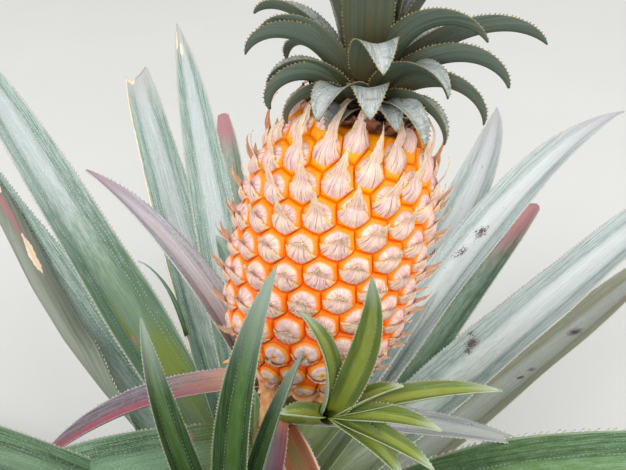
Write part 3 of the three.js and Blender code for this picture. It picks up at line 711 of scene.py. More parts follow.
def add_eye(shape, eye, rng):
    """Adds an eye's skin: rings from its grooved border over the rim to its domed middle."""
    rounded = eye.rim * eye.size / np.linalg.norm(eye.rim, axis=1, keepdims=True)
    share = smooth((1 - RHO) / 0.3)[:, None, None]
    rings = RHO[:, None, None] * (eye.rim[None] * (1 - 0.75 * share) + rounded[None] * 0.75 * share)
    sides = len(eye.rim)
    angle = np.arctan2(rings[..., 1], rings[..., 0])
    swell = np.sin(3 * angle + rng.uniform(0, 6)) + 0.6 * np.sin(5 * angle + rng.uniform(0, 6))
    raised = EYE_HEIGHT[:, None] + 0.25 * swell * (RHO * (1 - RHO) * 4)[:, None]
    centre = np.array([[0.0, 0.0, EYE_HEIGHT[-1] - 0.1]])
    local = np.concatenate([np.stack([rings[..., 0], rings[..., 1], raised], -1).reshape(-1, 3), centre])
    middle = len(local) - 1
    last = middle - sides
    fan = [(last + j, last + (j + 1) % sides, middle) for j in range(sides)]
    values = dict(
        rho=np.append(np.repeat(RHO, sides), 0.0),
        eye_x=local[:, 0] / eye.size,
        eye_y=local[:, 1] / eye.size,
        seed=rng.uniform(0, 100),
        height=eye.share,
    )
    slots = (np.repeat(np.arange(len(RHO) - 1), sides) >= FACE_RING).astype(int)
    shape.add(eye.place(*local.T), ring_faces(len(RHO), sides), slots, **values)
    shape.add_faces(fan, 1, len(local))


def add_bract(shape, eye, rng):
    """Adds the papery bract that clasps an eye's lower half and sweeps up to a ragged, standing point."""
    level = (eye.share - BARE_END_SHARE) / (1 - 2 * BARE_END_SHARE)

    def by_level(values):
        return float(np.interp(level, BRACT_LEVELS, values))

    facing = clamp(math.cos(eye.turn - math.radians(WORN_SIDE)) * 1.4 - 0.3)
    worn = rng.uniform(0.45, 1.0) * facing * float(np.interp(level, *WORN_LEVELS))
    length = (1 - 0.55 * worn) * rng.uniform(0.85, 1.12)
    clasp = eye.high * by_level(BRACT_CLASPS)
    tip_up = clasp + (eye.high * by_level(BRACT_TIPS) - clasp) * length
    rise = by_level(BRACT_RISES) * length * rng.uniform(0.85, 1.2)
    lean = rng.uniform(-0.3, 0.3) * eye.half
    s = np.linspace(0, 1, BRACT_ROWS)[:, None]
    x = BRACT_COLUMNS[None, :]

    # The foot follows the eye's border
    bearing = -math.pi / 2 + np.radians(by_level(BRACT_SPANS)) * x
    rim_angle = np.arctan2(eye.rim[:, 1], eye.rim[:, 0])
    order = np.argsort(rim_angle)
    reach = np.linalg.norm(eye.rim, axis=1)[order]
    border = np.interp(bearing, rim_angle[order], reach, period=2 * math.pi)
    border = border * (0.93 + 0.05 * np.abs(x) ** 2)
    base_x = border * np.cos(bearing)
    base_y = border * np.sin(bearing)

    # The body clasps the eye up to the knee, and the point runs on from there
    body = clamp(s / BRACT_KNEE)
    out = clamp((s - BRACT_KNEE) / (1 - BRACT_KNEE))
    point_half = eye.half * (0.42 * (1 - out) ** 1.15 + 0.045 * (1 - out) ** 0.3)
    uneven = rng.uniform(-0.2, 0.2, (BRACT_ROWS, len(BRACT_COLUMNS)))
    teeth = 1 + uneven * smooth((s - 0.15) / 0.3) * np.abs(x)
    sideways = (base_x * (1 - body**0.75) + x * point_half * body**0.75) * teeth + lean * s**2
    upward = base_y + (clasp - base_y) * body**1.1 + (tip_up - clasp) * out

    # Height over the skin: along the eye, and then free of it
    rho = np.hypot(sideways, upward) / eye.size
    free = smooth((s - 0.2) / 0.35)
    hug = np.interp(rho, RHO[::-1], EYE_HEIGHT[::-1]) * (1 - free) + 2.9 * free
    fold = 1.5 * (1 - np.abs(x) ** 1.3) * (1 - s) ** 0.7 * smooth(s / 0.2)
    curl = 0.9 * np.abs(x) ** 3 * smooth(s / 0.15) * (1 - s)
    raised = hug + 0.4 + fold + curl + rise * (1 - (1 - out) ** 1.6)
    if worn > 0.55:
        raised = raised - 2.2 * out**2 * rise / 4
    thick = 0.25 + 0.25 * (1 - np.abs(x)) + 0 * s
    lower = eye.place(sideways, upward, raised - thick)
    points, faces = sheet(eye.place(sideways, upward, raised), lower)
    across, share = sheet_places(BRACT_COLUMNS, s[:, 0])
    seed = rng.uniform(0, 100)
    shape.add(points, faces, 0, across=across, share=share, seed=seed, height=eye.share, worn=worn)


def add_scale(shape, leaf, foot, slot, rng):
    """Adds a free papery scale: a hollow, ragged sheet that bends on its way to its point."""
    t = np.linspace(0, 1, SCALE_ROWS)
    point, _, side, up = leaf_spine(leaf, foot, t)
    x = BRACT_COLUMNS[None, :, None]
    uneven = rng.uniform(-0.16, 0.16, (SCALE_ROWS, len(BRACT_COLUMNS), 1))
    teeth = 1 + uneven * np.abs(x) * smooth(t * 3)[:, None, None]
    half = leaf["width"] / 2 * np.interp(t, SCALE_PLACES, SCALE_WIDTHS)
    half = half[:, None, None] * teeth + 0.3
    hollow = 0.3 * half * np.abs(x) ** 2
    upper = point[:, None] + side[:, None] * x * half + up[:, None] * hollow
    points, faces = sheet(upper, upper - up[:, None] * 0.5)
    across, share = sheet_places(BRACT_COLUMNS, t)
    seed = rng.uniform(0, 100)
    worn = rng.uniform(0.1, 0.7)
    shape.add(points, faces, slot, across=across, share=share, seed=seed, worn=worn)


# Materials


def srgb(colour):
    """The linear colour of an 8-bit screen colour."""
    levels = [c / 255 for c in colour]
    linear = [c / 12.92 if c <= 0.04045 else ((c + 0.055) / 1.055) ** 2.4 for c in levels]
    return (*linear, 1.0)


class Skin:
    """A material in the making. Inputs are other nodes' sockets, numbers, or 8-bit screen colours, and
    colour is the surface's colour so far."""

    def __init__(self, name):
        self.material = bpy.data.materials.new(name)
        self.material.use_nodes = True
        self.tree = self.material.node_tree
        self.shader = self.tree.nodes["Principled BSDF"]
        self.colour = None

    def fill(self, socket, value):
        if isinstance(value, bpy.types.NodeSocket):
            self.tree.links.new(value, socket)
        else:
            socket.default_value = srgb(value) if isinstance(value, tuple) else value

    def node(self, kind, inputs, **settings):
        """Adds a node, and fills its inputs by number or name."""
        node = self.tree.nodes.new("ShaderNode" + kind)
        for key, setting in settings.items():
            setattr(node, key, setting)
        for key, value in inputs.items():
            self.fill(node.inputs[key], value)
        return node

    def values(self, *names):
        """The mesh's point values of these names."""
        return [self.node("Attribute", {}, attribute_name=name).outputs["Fac"] for name in names]

    def maths(self, operation, *values):
        return self.node("Math", dict(enumerate(values)), operation=operation).outputs[0]

    def plus(self, first, second):
        return self.maths("ADD", first, second)

    def times(self, product, *factors):
        for factor in factors:
            product = self.maths("MULTIPLY", product, factor)
        return product

    def scaled(self, value, factor, offset):
        """The value times a factor, plus an offset."""
        return self.maths("MULTIPLY_ADD", value, factor, offset)

    def rest(self, share):
        """What a share leaves of 1."""
        return self.maths("SUBTRACT", 1.0, share)

    def distance(self, value, middle):
        return self.maths("ABSOLUTE", self.maths("SUBTRACT", value, middle))

    def ease(self, value, low, high):
        """A smooth share that goes from 0 at low to 1 at high."""
        inputs = {0: value, 1: low, 2: high}
        return self.node("MapRange", inputs, interpolation_type="SMOOTHSTEP").outputs[0]

    def noise(self, vector, scale, detail=2.0, rough=0.5):
        inputs = dict(Vector=vector, Scale=scale, Detail=detail, Roughness=rough)
        return self.node("TexNoise", inputs).outputs["Fac"]

    def place(self):
        return self.node("TexCoord", {}).outputs["Object"]

    def vector(self, x, y, z):
        return self.node("CombineXYZ", {0: x, 1: y, 2: z}).outputs[0]

    def ramp(self, value, *stops):
        node = self.node("ValToRGB", {0: value})
        elements = node.color_ramp.elements
        while len(elements) < len(stops):
            elements.new(0.5)
        for element, (place, colour) in zip(elements, stops):
            element.position = place
            element.color = srgb(colour)
        return node.outputs[0]

    def mix(self, share, first, second):
        return self.node("Mix", {0: share, 6: first, 7: second}, data_type="RGBA").outputs[2]

    def tint(self, colour, *shares):
        """Lays a colour over the surface, as strongly as the product of some shares."""
        self.colour = self.mix(self.times(*shares), self.colour, colour)

    def finish(self, roughness, relief=None, depth=0.0, **settings):
        """Joins the colour, roughness and relief to the shader, and returns the material. Settings go by
        the shader's own names, with _ for the spaces."""
        self.fill(self.shader.inputs["Base Color"], self.colour)
        self.fill(self.shader.inputs["Roughness"], roughness)
        for key, setting in settings.items():
            self.shader.inputs[key.replace("_", " ")].default_value = setting
        if relief is not None:
            bump = self.node("Bump", dict(Height=relief, Strength=1.0, Distance=depth))
            self.fill(self.shader.inputs["Normal"], bump.outputs[0])
        return self.material


def leaf_material(name, look):
    """Blade: a pale bloom in the trough, darker flanks with fine lines and dashed prints, and marks."""
    skin = Skin(name)
    across, along, side, share, seed = skin.values("across", "along", "side_mm", "share", "seed")

    def grain(sideways, per_side, per_length, detail=2.0):
        where = skin.vector(skin.times(sideways, per_side), skin.times(along, per_length), seed)
        return skin.noise(where, 1.0, detail, 0.55)

    broad = grain(across, 3.0, 0.005, 3.0)
    streaks = grain(side, 0.9, 0.008)
    hairs = grain(side, 3.2, 0.04, 1.0)
    mottle = grain(side, 0.35, 0.09, 4.0)
    specks = grain(side, 1.5, 0.8, 3.0)
    patchy = skin.scaled(mottle, 0.8, -0.4)

    # Trough, flanks and margins, green under the bloom
    bloom, age, tone, under = skin.values("bloom", "age", "tone", "under")
    away = skin.maths("ABSOLUTE", across)
    place = skin.plus(away, skin.scaled(broad, 0.3, -0.15))
    flank = skin.ease(place, 0.22, 0.62)
    green = skin.mix(flank, look["green_trough"], look["green_flank"])
    pale = skin.mix(flank, look["bloom_trough"], look["bloom_flank"])
    bloom = skin.ease(skin.plus(bloom, patchy), 0.1, 0.9)
    skin.colour = skin.mix(bloom, green, pale)
    # A dark line along each edge of the trough, where the blade folds from trough to flank, is painted shade
    # of that fold
    trough_edge = skin.rest(skin.ease(skin.distance(place, 0.56), 0.02, 0.1))
    lines = skin.times(skin.ease(streaks, 0.48, 0.58), skin.scaled(flank, 0.8, 0.2))
    lines = skin.maths("MAXIMUM", lines, skin.times(trough_edge, 0.7))
    skin.tint(look["line"], lines, look["lines"])
    skin.tint(look["hair"], skin.ease(hairs, 0.48, 0.62), look["hairs"], skin.scaled(bloom, 0.7, 0.3))
    skin.tint(look["hair"], skin.ease(specks, 0.52, 0.68), skin.times(bloom, look["dust"]))
    if look["bands"]:
        skin.tint(look["line"], skin.ease(grain(side, 0.13, 0.45, 3.0), 0.5, 0.64), look["bands"])
    skin.tint(look["margin"], skin.ease(away, look["margin_from"], 0.985), look["margin_strength"])

    # Dashed prints of the thorns of the leaves that lay against this one in the bud
    width, strength = look["print_width"], look["print_strength"]
    dash = skin.maths("SINE", skin.times(along, 2 * math.pi / look["print_every"]))
    dash = skin.times(skin.ease(dash, -0.2, 0.4), skin.ease(mottle, 0.38, 0.52))
    for middle, slant in look["prints"]:
        off = skin.distance(across, skin.scaled(share, slant, middle))
        shadow = skin.rest(skin.ease(skin.plus(off, -width), 0.0, 0.06))
        skin.tint(look["line"], shadow, strength, 0.5)
        near = skin.rest(skin.ease(off, width * 0.5, width))
        skin.tint(look["hair"], near, dash, strength)

    # Foot, age and tip
    skin.tint(look["foot_colour"], skin.rest(skin.ease(share, 0.02, look["foot_to"])), 0.8)
    skin.tint(look["old_colour"], age, skin.scaled(mottle, 0.5, skin.times(flank, 0.3)))
    skin.tint(look["tip_colour"], skin.ease(skin.scaled(broad, 0.1, share), look["tip_from"], 1.08))

    # The lower side is evenly scaly
    cloudy = skin.scaled(broad, 0.5, skin.plus(share, -0.25))
    scaly = skin.mix(skin.ease(cloudy, 0.0, 0.55), look["under_foot"], look["under"])
    scaly = skin.mix(skin.times(skin.ease(streaks, 0.45, 0.65), 0.5), scaly, look["under_line"])
    skin.tint(scaly, under)

    # Marks that have a place, some with ragged outlines
    frayed = skin.plus(patchy, skin.scaled(skin.ease(specks, 0.38, 0.62), 0.6, -0.3))
    for key, ragged, low, high, strength in (
        ("warm", 0.0, 0.1, 0.9, 0.85),
        ("red", 0.0, 0.1, 0.8, 0.85),
        ("scar", patchy, 0.48, 0.56, 1.0),
        ("spot", frayed, 0.4, 0.46, 0.95),
    ):
        amount = skin.plus(*skin.values(key), ragged)
        skin.tint(look[key + "_colour"], skin.ease(amount, low, high), strength)

    toned = skin.node("HueSaturation", dict(Value=skin.plus(tone, 1.0), Color=skin.colour))
    skin.colour = toned.outputs[0]
    roughness = skin.scaled(mottle, 0.25, look["rough"])
    relief = skin.scaled(hairs, 0.5, streaks)
    return skin.finish(roughness, relief, look["relief"], Specular_IOR_Level=look["shine"])


def thorn_material(name, foot, tip):
    """Thorns, from the margin's colour to the colour of their points."""
    skin = Skin(name)
    level = skin.scaled(skin.noise(skin.place(), 500.0), 0.6, *skin.values("point"))
    skin.colour = skin.mix(skin.ease(level, 0.3, 1.1), foot, tip)
    return skin.finish(0.5)


def mottled_material(name, first, second, scale, rough=0.7, depth=0.0006):
    """A plain surface with soft mottling and fine relief."""
    skin = Skin(name)
    where = skin.place()
    skin.colour = skin.mix(skin.ease(skin.noise(where, scale, 5.0, 0.6), 0.35, 0.65), first, second)
    return skin.finish(rough, skin.noise(where, scale * 5, 4.0), depth)


def rim_material():
    """The orange skin of the rims and grooves, yellower at the top of the fruit and redder at its foot."""
    skin = Skin("fruit_rim")
    height, rho = skin.values("height", "rho")
    where = skin.place()
    level = skin.scaled(skin.noise(where, 60.0, 3.0), 0.5, skin.plus(height, -0.25))
    groove = skin.ramp(level, (0.0, (218, 72, 14)), (0.5, (240, 104, 4)), (1.0, (246, 130, 2)))
    crest = skin.ramp(
        level, (0.0, (228, 80, 8)), (0.3, (244, 112, 2)), (0.6, (250, 134, 0)), (1.0, (254, 164, 2))
    )
    skin.colour = skin.mix(skin.rest(skin.ease(rho, 0.93, 0.995)), groove, crest)
    return skin.finish(
        0.42,
        skin.noise(where, 700.0, 3.0),
        0.0002,
        Specular_IOR_Level=0.3,
        Subsurface_Weight=0.1,
        Subsurface_Radius=(1.0, 0.4, 0.12),
        Subsurface_Scale=0.003,
    )


def face_material():
    """The pinkish cream face of an eye, with fine lilac streaks that run out from its middle."""
    skin = Skin("fruit_eye_face")
    x, y, rho, seed, height = skin.values("eye_x", "eye_y", "rho", "seed", "height")
    bearing = skin.maths("ARCTAN2", y, x)

    def rays(count, along, detail, rough):
        where = skin.vector(skin.times(bearing, count), skin.times(rho, along), seed)
        return skin.noise(where, 2.0, detail, rough)

    streak = rays(5.0, 1.6, 3.0, 0.6)
    thin = rays(13.0, 1.5, 2.0, 0.5)
    cloud = skin.noise(skin.vector(x, y, seed), 2.5, 3.0)
    skin.colour = skin.mix(skin.ease(cloud, 0.38, 0.62), (252, 226, 196), (245, 202, 194))
    skin.tint((222, 168, 192), skin.ease(streak, 0.5, 0.6), 0.6)
    skin.tint((160, 104, 130), skin.ease(thin, 0.56, 0.62), 0.75)

    # The low eyes are paler, with an uneven lilac ring and a yellow middle with a brown dot
    low = skin.rest(skin.ease(height, 0.16, 0.34))
    uneven = skin.scaled(streak, 0.5, skin.plus(rho, -0.25))
    lilac = skin.rest(skin.ease(skin.distance(uneven, 0.42), 0.0, 0.16))
    skin.tint((255, 236, 214), low, 0.35)
    skin.tint((253, 152, 30), skin.ease(skin.scaled(low, 0.1, rho), 0.62, 0.76))
    skin.tint((190, 140, 178), lilac, low, 0.5)
    skin.tint((252, 190, 56), skin.rest(skin.ease(uneven, 0.16, 0.26)), low)
    skin.tint((120, 66, 44), skin.rest(skin.ease(rho, 0.04, 0.1)), low, 0.6)
    return skin.finish(0.55, skin.plus(streak, thin), 0.0004)


def bract_material():
    """Thin paper: pinkish with lilac lines that fan out from the point, golden edges and a dry point."""
    skin = Skin("fruit_bract")
    across, share, seed, height, worn = skin.values("across", "share", "seed", "height", "worn")
    away = skin.maths("ABSOLUTE", across)

    def lines(count, along, scale, detail, rough):
        where = skin.vector(skin.times(across, count), skin.times(share, along), seed)
        return skin.noise(where, scale, detail, rough)

    broad = lines(4.0, 1.3, 1.5, 3.0, 0.6)
    fine = lines(11.0, 1.3, 1.6, 2.0, 0.6)
    flecks = lines(2.0, 7.0, 1.6, 2.0, 0.5)
    skin.colour = skin.ramp(
        share,
        (0.0, (248, 162, 84)),
        (0.06, (249, 202, 178)),
        (0.4, (249, 206, 180)),
        (0.75, (250, 214, 180)),
        (1.0, (246, 204, 150)),
    )
    skin.tint((222, 168, 184), skin.ease(broad, 0.48, 0.6), 0.6)
    skin.tint((146, 96, 118), skin.ease(fine, 0.56, 0.62), 0.75)
    skin.tint((255, 206, 116), skin.ease(away, 0.7, 1.0), 0.8)
    # Paler from the middle of the length on: the dry paper's own cream, lifted further as painted light on
    # the standing points that face away from the lamps
    skin.tint((252, 224, 188), skin.ease(share, 0.45, 0.9), 0.6)
    skin.tint((248, 206, 180), skin.ease(height, 0.84, 0.95), skin.ease(share, 0.2, 0.7), 0.5)
    dry = skin.times(skin.ease(flecks, 0.5, 0.57), skin.ease(share, 0.45, 0.7))
    skin.tint((112, 74, 62), dry, skin.scaled(worn, 0.9, 0.15))
    # A broken dark brown line along the edges: partly the dried, cracked edge, partly painted shadow under
    # the edge where it meets the eye's face
    skin.tint((138, 88, 66), skin.ease(away, 0.88, 0.98), skin.ease(flecks, 0.44, 0.56), 0.6)
    return skin.finish(
        0.6,
        skin.plus(broad, fine),
        0.0005,
        Subsurface_Weight=0.4,
        Subsurface_Radius=(1.0, 0.6, 0.4),
        Subsurface_Scale=0.002,
    )


# How each kind of leaf is cut, in millimetres where not shares. trough is an angle in radians, and bloom
# says how pale the blade is, by shares of its length.
ROSETTE_LOOK = dict(
    foot=0.62, row=4.6, trough=0.32, wave=0.9, pleat=0.55, thick=2.0, edge=0.7, thorn=1.5,
    thorn_every=3.6, thorn_from=0.1, bloom=((0, 0.1), (0.25, 0.35), (0.5, 0.8), (1, 0.95)),
)
SMALL_LOOK = dict(
    ROSETTE_LOOK, foot=0.8, row=3.2, columns=FEW_COLUMNS, pleat=0.3, thick=1.4, edge=0.5, thorn=1.1,
    thorn_every=3.0, bloom=((0, 0.1), (1, 0.3)),
)
SLIP_LOOK = dict(SMALL_LOOK, foot=0.6, row=3.0, trough=0.45, wave=0.3, thorn=0.9, thorn_every=2.6)
CROWN_LOOK = dict(
    SMALL_LOOK, foot=0.7, row=2.0, wave=0.25, pleat=0.0, thick=1.1, thorn=1.1, thorn_every=2.3,
    # The silver grows from none at the foot to nearly full by 0.4 of the length: the blade's silvery face,
    # with painted shade on the part near the foot and painted light on the hanging part, which faces the sky
    bloom=((0, 0.0), (0.16, 0.3), (0.4, 0.9), (1, 1.0)),
)

# Colours of a pale rosette leaf, and how the other kinds differ from it
PALE_COLOURS = dict(
    green_trough=(112, 138, 108), green_flank=(80, 112, 74), bloom_trough=(184, 191, 188),
    bloom_flank=(142, 163, 150), line=(72, 102, 84), hair=(218, 224, 220), margin=(200, 208, 196),
    under=(176, 186, 176), under_foot=(140, 156, 128), under_line=(140, 154, 138),
    foot_colour=(122, 136, 52), old_colour=(152, 136, 96), tip_colour=(184, 182, 176),
    warm_colour=(116, 132, 24), red_colour=(182, 116, 122), scar_colour=(250, 222, 190),
    spot_colour=(78, 46, 44), lines=0.6, hairs=0.4, dust=0.5, margin_from=0.93, margin_strength=0.4,
    bands=0.0, prints=[(0.62, -0.12), (0.78, -0.1), (-0.68, 0.1)], print_every=3.4, print_width=0.022,
    print_strength=0.32, foot_to=0.2, tip_from=0.86, rough=0.42, shine=0.4, relief=0.0006,
)
DARK_COLOURS = dict(
    PALE_COLOURS, green_trough=(76, 110, 40), green_flank=(52, 84, 28), bloom_trough=(112, 142, 102),
    bloom_flank=(76, 109, 66), line=(26, 46, 22), hair=(176, 196, 172), margin=(176, 190, 164),
    under=(150, 170, 152), under_foot=(128, 150, 116), under_line=(122, 146, 124),
    foot_colour=(98, 116, 34), hairs=0.24, dust=0.5, margin_strength=0.45,
    prints=[(0.58, -0.14), (-0.5, 0.1)], print_strength=0.6, print_every=2.9, tip_from=0.94,
)
LIGHT_COLOURS = dict(
    DARK_COLOURS, green_trough=(132, 144, 44), green_flank=(92, 110, 32), bloom_trough=(160, 172, 128),
    bloom_flank=(124, 140, 90), line=(76, 96, 36), hair=(206, 212, 176), margin=(220, 224, 196),
    under=(170, 180, 140), foot_colour=(140, 150, 44), tip_colour=(172, 186, 162), tip_from=0.8,
    lines=0.4, margin_strength=0.2, prints=[(0.5, -0.2)], print_strength=0.6,
)
PURPLE_COLOURS = dict(
    PALE_COLOURS, green_trough=(158, 166, 156), green_flank=(132, 144, 136),
    bloom_trough=(190, 190, 194), bloom_flank=(158, 162, 167), line=(104, 100, 108),
    hair=(212, 210, 214), margin=(204, 202, 206), under=(204, 196, 200), under_foot=(198, 196, 190),
    under_line=(150, 144, 150), foot_colour=(150, 156, 110), tip_colour=(152, 130, 138), tip_from=0.72,
)
RED_COLOURS = dict(
    PALE_COLOURS, green_trough=(124, 104, 108), green_flank=(168, 88, 96), bloom_trough=(140, 126, 134),
    bloom_flank=(172, 96, 104), line=(98, 76, 88), hair=(176, 164, 168), margin=(214, 170, 166),
    under=(206, 140, 116), under_foot=(196, 130, 100), under_line=(186, 104, 92),
    foot_colour=(214, 130, 104), tip_colour=(160, 74, 90), tip_from=0.7, print_strength=0.15,
)
MAUVE_COLOURS = dict(
    PURPLE_COLOURS, green_trough=(150, 150, 112), green_flank=(160, 140, 120), bloom_trough=(82, 74, 80),
    bloom_flank=(110, 102, 108), line=(66, 52, 58), hair=(188, 180, 186), hairs=0.24, dust=0.25,
    under=(160, 140, 150), under_foot=(150, 140, 134), red_colour=(172, 80, 96),
    foot_colour=(214, 146, 114), foot_to=0.5, tip_colour=(158, 72, 92), tip_from=0.84, prints=[],
)
SILVER_COLOURS = dict(
    PALE_COLOURS, green_trough=(150, 168, 142), bloom_trough=(208, 211, 208),
    bloom_flank=(170, 180, 176), line=(100, 118, 110), tip_colour=(180, 176, 176), tip_from=0.66,
    margin=(206, 212, 204),
)
BROWN_COLOURS = dict(
    RED_COLOURS, green_trough=(130, 104, 40), green_flank=(176, 92, 50), bloom_trough=(136, 108, 48),
    bloom_flank=(180, 98, 60), line=(110, 74, 36), foot_colour=(190, 104, 60), margin=(240, 214, 190),
    margin_from=0.84, margin_strength=1.0,
)
CROWN_COLOURS = dict(
    PALE_COLOURS, green_trough=(96, 98, 52), green_flank=(84, 90, 50), bloom_trough=(160, 163, 158),
    bloom_flank=(140, 147, 142), line=(80, 90, 80), hair=(212, 214, 212), margin=(150, 150, 96),
    under=(78, 90, 76), under_foot=(84, 76, 40), under_line=(54, 66, 52), foot_colour=(92, 86, 40),
    tip_colour=(130, 140, 124), lines=0.35, dust=0.5, bands=0.4, prints=[], tip_from=0.96,
)
SLIP_DARK_COLOURS = dict(DARK_COLOURS, tip_colour=(166, 180, 164), tip_from=0.7)
LEAF_COLOURS = dict(
    pale=PALE_COLOURS,
    rolled=dict(PALE_COLOURS, under=(126, 130, 116), under_foot=(52, 84, 46), under_line=(84, 96, 78)),
    dark=dict(
        DARK_COLOURS, bloom_trough=(114, 148, 114), bloom_flank=(88, 124, 86), print_strength=0.22
    ),
    silver=SILVER_COLOURS,
    purple=PURPLE_COLOURS,
    faded=dict(PURPLE_COLOURS, tip_colour=(158, 162, 152)),
    mauve=MAUVE_COLOURS,
    red=RED_COLOURS,
    brown=BROWN_COLOURS,
)

# The rolled leaf's left margin, by shares of the length: the place of the fold, how many degrees it rolls
# over, and how far it reaches
ROLLED_MARGIN = dict(
    radius=2.6,
    rows=(
        (0.0, -0.5, 0, 0.5),
        (0.18, -0.55, 0, 0.5),
        (0.3, -0.8, 90, 0.55),
        (0.4, -0.9, 160, 0.85),
        (0.5, -0.75, 168, 1.05),
        (0.64, -0.3, 168, 1.05),
        (0.8, 0.0, 168, 0.95),
        (1.0, 0.0, 168, 0.8),
    ),
)

# What is particular to single leaves. Marks are given by share of the length, place across, length in
# millimetres, width across, and side.
DETAILS = {
    "leaf_left_upper": dict(
        bloom=((0, 0.0), (0.28, 0.0), (0.38, 0.25), (0.5, 0.6), (0.64, 0.9), (1, 0.95)),
        warm=[(0.2, 0.3, 44, 0.6, 0), (0.28, -0.44, 30, 0.07, 0)],
        red=[(0.3, -0.46, 12, 0.035, 0), (0.26, -0.44, 5, 0.06, 0)], tone=-0.05,
    ),
    "leaf_left_rolled": dict(
        skin="rolled", curl=ROLLED_MARGIN, bloom=((0, 0.2), (0.3, 0.5), (0.6, 0.8), (1, 0.8)),
        red=[(0.7, -0.76, 80, 0.07, 1), (0.6, -0.74, 60, 0.04, 1)],
        # tone=0.16 is painted light: it brightens the whole blade so that its trough, in the shade of the
        # leaf above it, is lighter
        scar=[(0.555, -0.78, 26, 0.1, 1), (0.7, -0.88, 10, 0.08, 1)], tone=0.16,
    ),
    "leaf_back_left_cut": dict(
        bloom=((0, 0.1), (0.35, 0.5), (0.6, 0.9), (1, 1.0)), bare_margin=-1, broken=(12, 18, 10, 5, 0),
        scar=[(0.75, -1, 200, 0.07, 0), (0.35, -1, 60, 0.09, 0), (1, -0.6, 9, 0.5, 0)],
    ),
    "leaf_back_left_tall": dict(
        bloom=((0, 0.1), (0.3, 0.6), (0.5, 0.95), (1, 1.1)),
        scar=[(0.9, -0.2, 14, 0.34, 0), (0.93, -0.9, 22, 0.25, 0)],
    ),
    "leaf_back_left_dry": dict(
        bloom=((0, 0.1), (0.6, 0.4), (1, 0.6)), age=0.5, broken=(7, 2, 0, 1, 5), red=[(1, 0, 60, 2, 0)],
    ),
    "leaf_back_right_tall": dict(
        skin="silver", bloom=((0, 0.3), (0.4, 0.8), (1, 1.0)),
        spot=[(0.454, -0.1, 5, 0.16, 0), (0.426, -0.25, 5, 0.12, 0), (0.4, 0.0, 3, 0.07, 0)],
    ),
    "leaf_right_upper": dict(
        skin="silver", bloom=((0, 0.5), (0.4, 0.8), (1, 1.1)),
        spot=[(0.501, -0.08, 6, 0.16, 0), (0.449, -0.2, 7, 0.09, 0), (0.51, 0.05, 3, 0.06, 0)],
        tone=0.03,
    ),
    "leaf_right_dry": dict(
        bloom=((0, 0.1), (0.7, 0.3), (1, 0.5)), broken=(9, 3, 0, 2, 8), red=[(1, -0.2, 80, 1.4, 0)],
        tone=0.04,
    ),
    "leaf_right_middle": dict(
        skin="silver", bloom=((0, 0.4), (0.28, 0.6), (0.5, 1.0), (1, 1.1)),
        spot=[(0.333, -0.6, 6, 0.12, 0), (0.343, -0.85, 3, 0.06, 0), (0.32, -0.48, 3, 0.07, 0)],
        tone=-0.02,
    ),
    "leaf_right_lower": dict(
        bloom=((0, 0.5), (0.4, 0.8), (1, 0.7)), age=1.0,
        spot=[(0.54, 0.1, 6, 0.24, 0), (0.41, 0.15, 2.5, 0.1, 0), (0.435, 0.2, 2.5, 0.1, 0)],
        red=[(0.85, 0.6, 120, 0.5, 0)],
    ),
    "leaf_front_right_wide": dict(
        skin="dark", bloom=((0, 0.2), (0.6, 0.5), (1, 0.6)), thorn=2.2, thorn_every=5.0, tone=0.28,
    ),
    "leaf_front_left_high": dict(skin="dark", bloom=((0, 0.3), (0.5, 0.8), (1, 0.8)), tone=0.0),
    "stalk_leaf_left_long": dict(
        skin="purple", bloom=((0, 0.2), (0.3, 0.7), (0.6, 1.0), (1, 1.0)), red=[(0.7, 0.1, 22, 0.12, 0)],
        # tone=0.14 is painted light: it brightens a blade that faces away from the lamps
        tone=0.14,
    ),
    "stalk_leaf_right_purple": dict(skin="faded", bloom=((0, 1.0), (0.35, 0.8), (0.7, 0.2), (1, 0.2))),
    "stalk_leaf_left_red": dict(
        skin="mauve", trough=0.5, bloom=((0, 0.2), (0.35, 0.7), (1, 1.0)),
        red=[(0.75, -0.7, 110, 0.95, 0), (0.34, 0.35, 16, 0.12, 0)],
    ),
    "stalk_leaf_left_wide": dict(
        skin="dark", bloom=((0, 0.9), (0.3, 0.8), (1, 0.5)), red=[(0.135, 0.65, 4, 0.16, 0)],
    ),
    "stalk_leaf_front_red": dict(skin="red"),
    "stalk_leaf_front_brown": dict(skin="brown"),
}


# Pieces


def leaf_root(name, leaf):
    """Where a leaf's line starts: a rosette leaf's on the stem, and a small leaf's on the fruit's stalk."""
    out = outward_way(leaf["az"])
    if name in STALK_LEAVES:
        return stalk_centre(leaf["z0"]) + out * (STALK_RADIUS - FOOT_SUNK)
    root = out * (stem_radius(leaf["z0"]) + FOOT_CLEARANCE)
    root[2] = leaf["z0"]
    return root


def leaf_pieces():
    """One piece for each rosette leaf, and for each small leaf on the fruit's stalk."""
    thorn = thorn_material("leaf_thorn", (204, 210, 194), (188, 176, 150))
    cream = mottled_material("leaf_cut_edge", (236, 220, 180), (200, 170, 120), 300.0)
    skins = {kind: leaf_material("leaf_" + kind, colours) for kind, colours in LEAF_COLOURS.items()}
    for leaves, kind_look, slot, first_seed in (
        (ROSETTE, ROSETTE_LOOK, "rosette_leaf", 100),
        (STALK_LEAVES, SMALL_LOOK, "stalk_leaf", 200),
    ):
        for number, (name, leaf) in enumerate(leaves.items()):
            rng = np.random.default_rng(first_seed + number)
            look = dict(kind_look, **DETAILS.get(name, {}))
            shape = Shape()
            add_blade(shape, leaf, leaf_root(name, leaf), look, rng, onto_stem=leaves is ROSETTE)
            if name == "leaf_back_left_cut":
                add_scale(shape, TORN_STRIP, np.array(TORN_STRIP_FOOT, float), 0, rng)
            shape.build(name + "_blade", [skins[look.get("skin", "pale")], thorn, cream], [name])


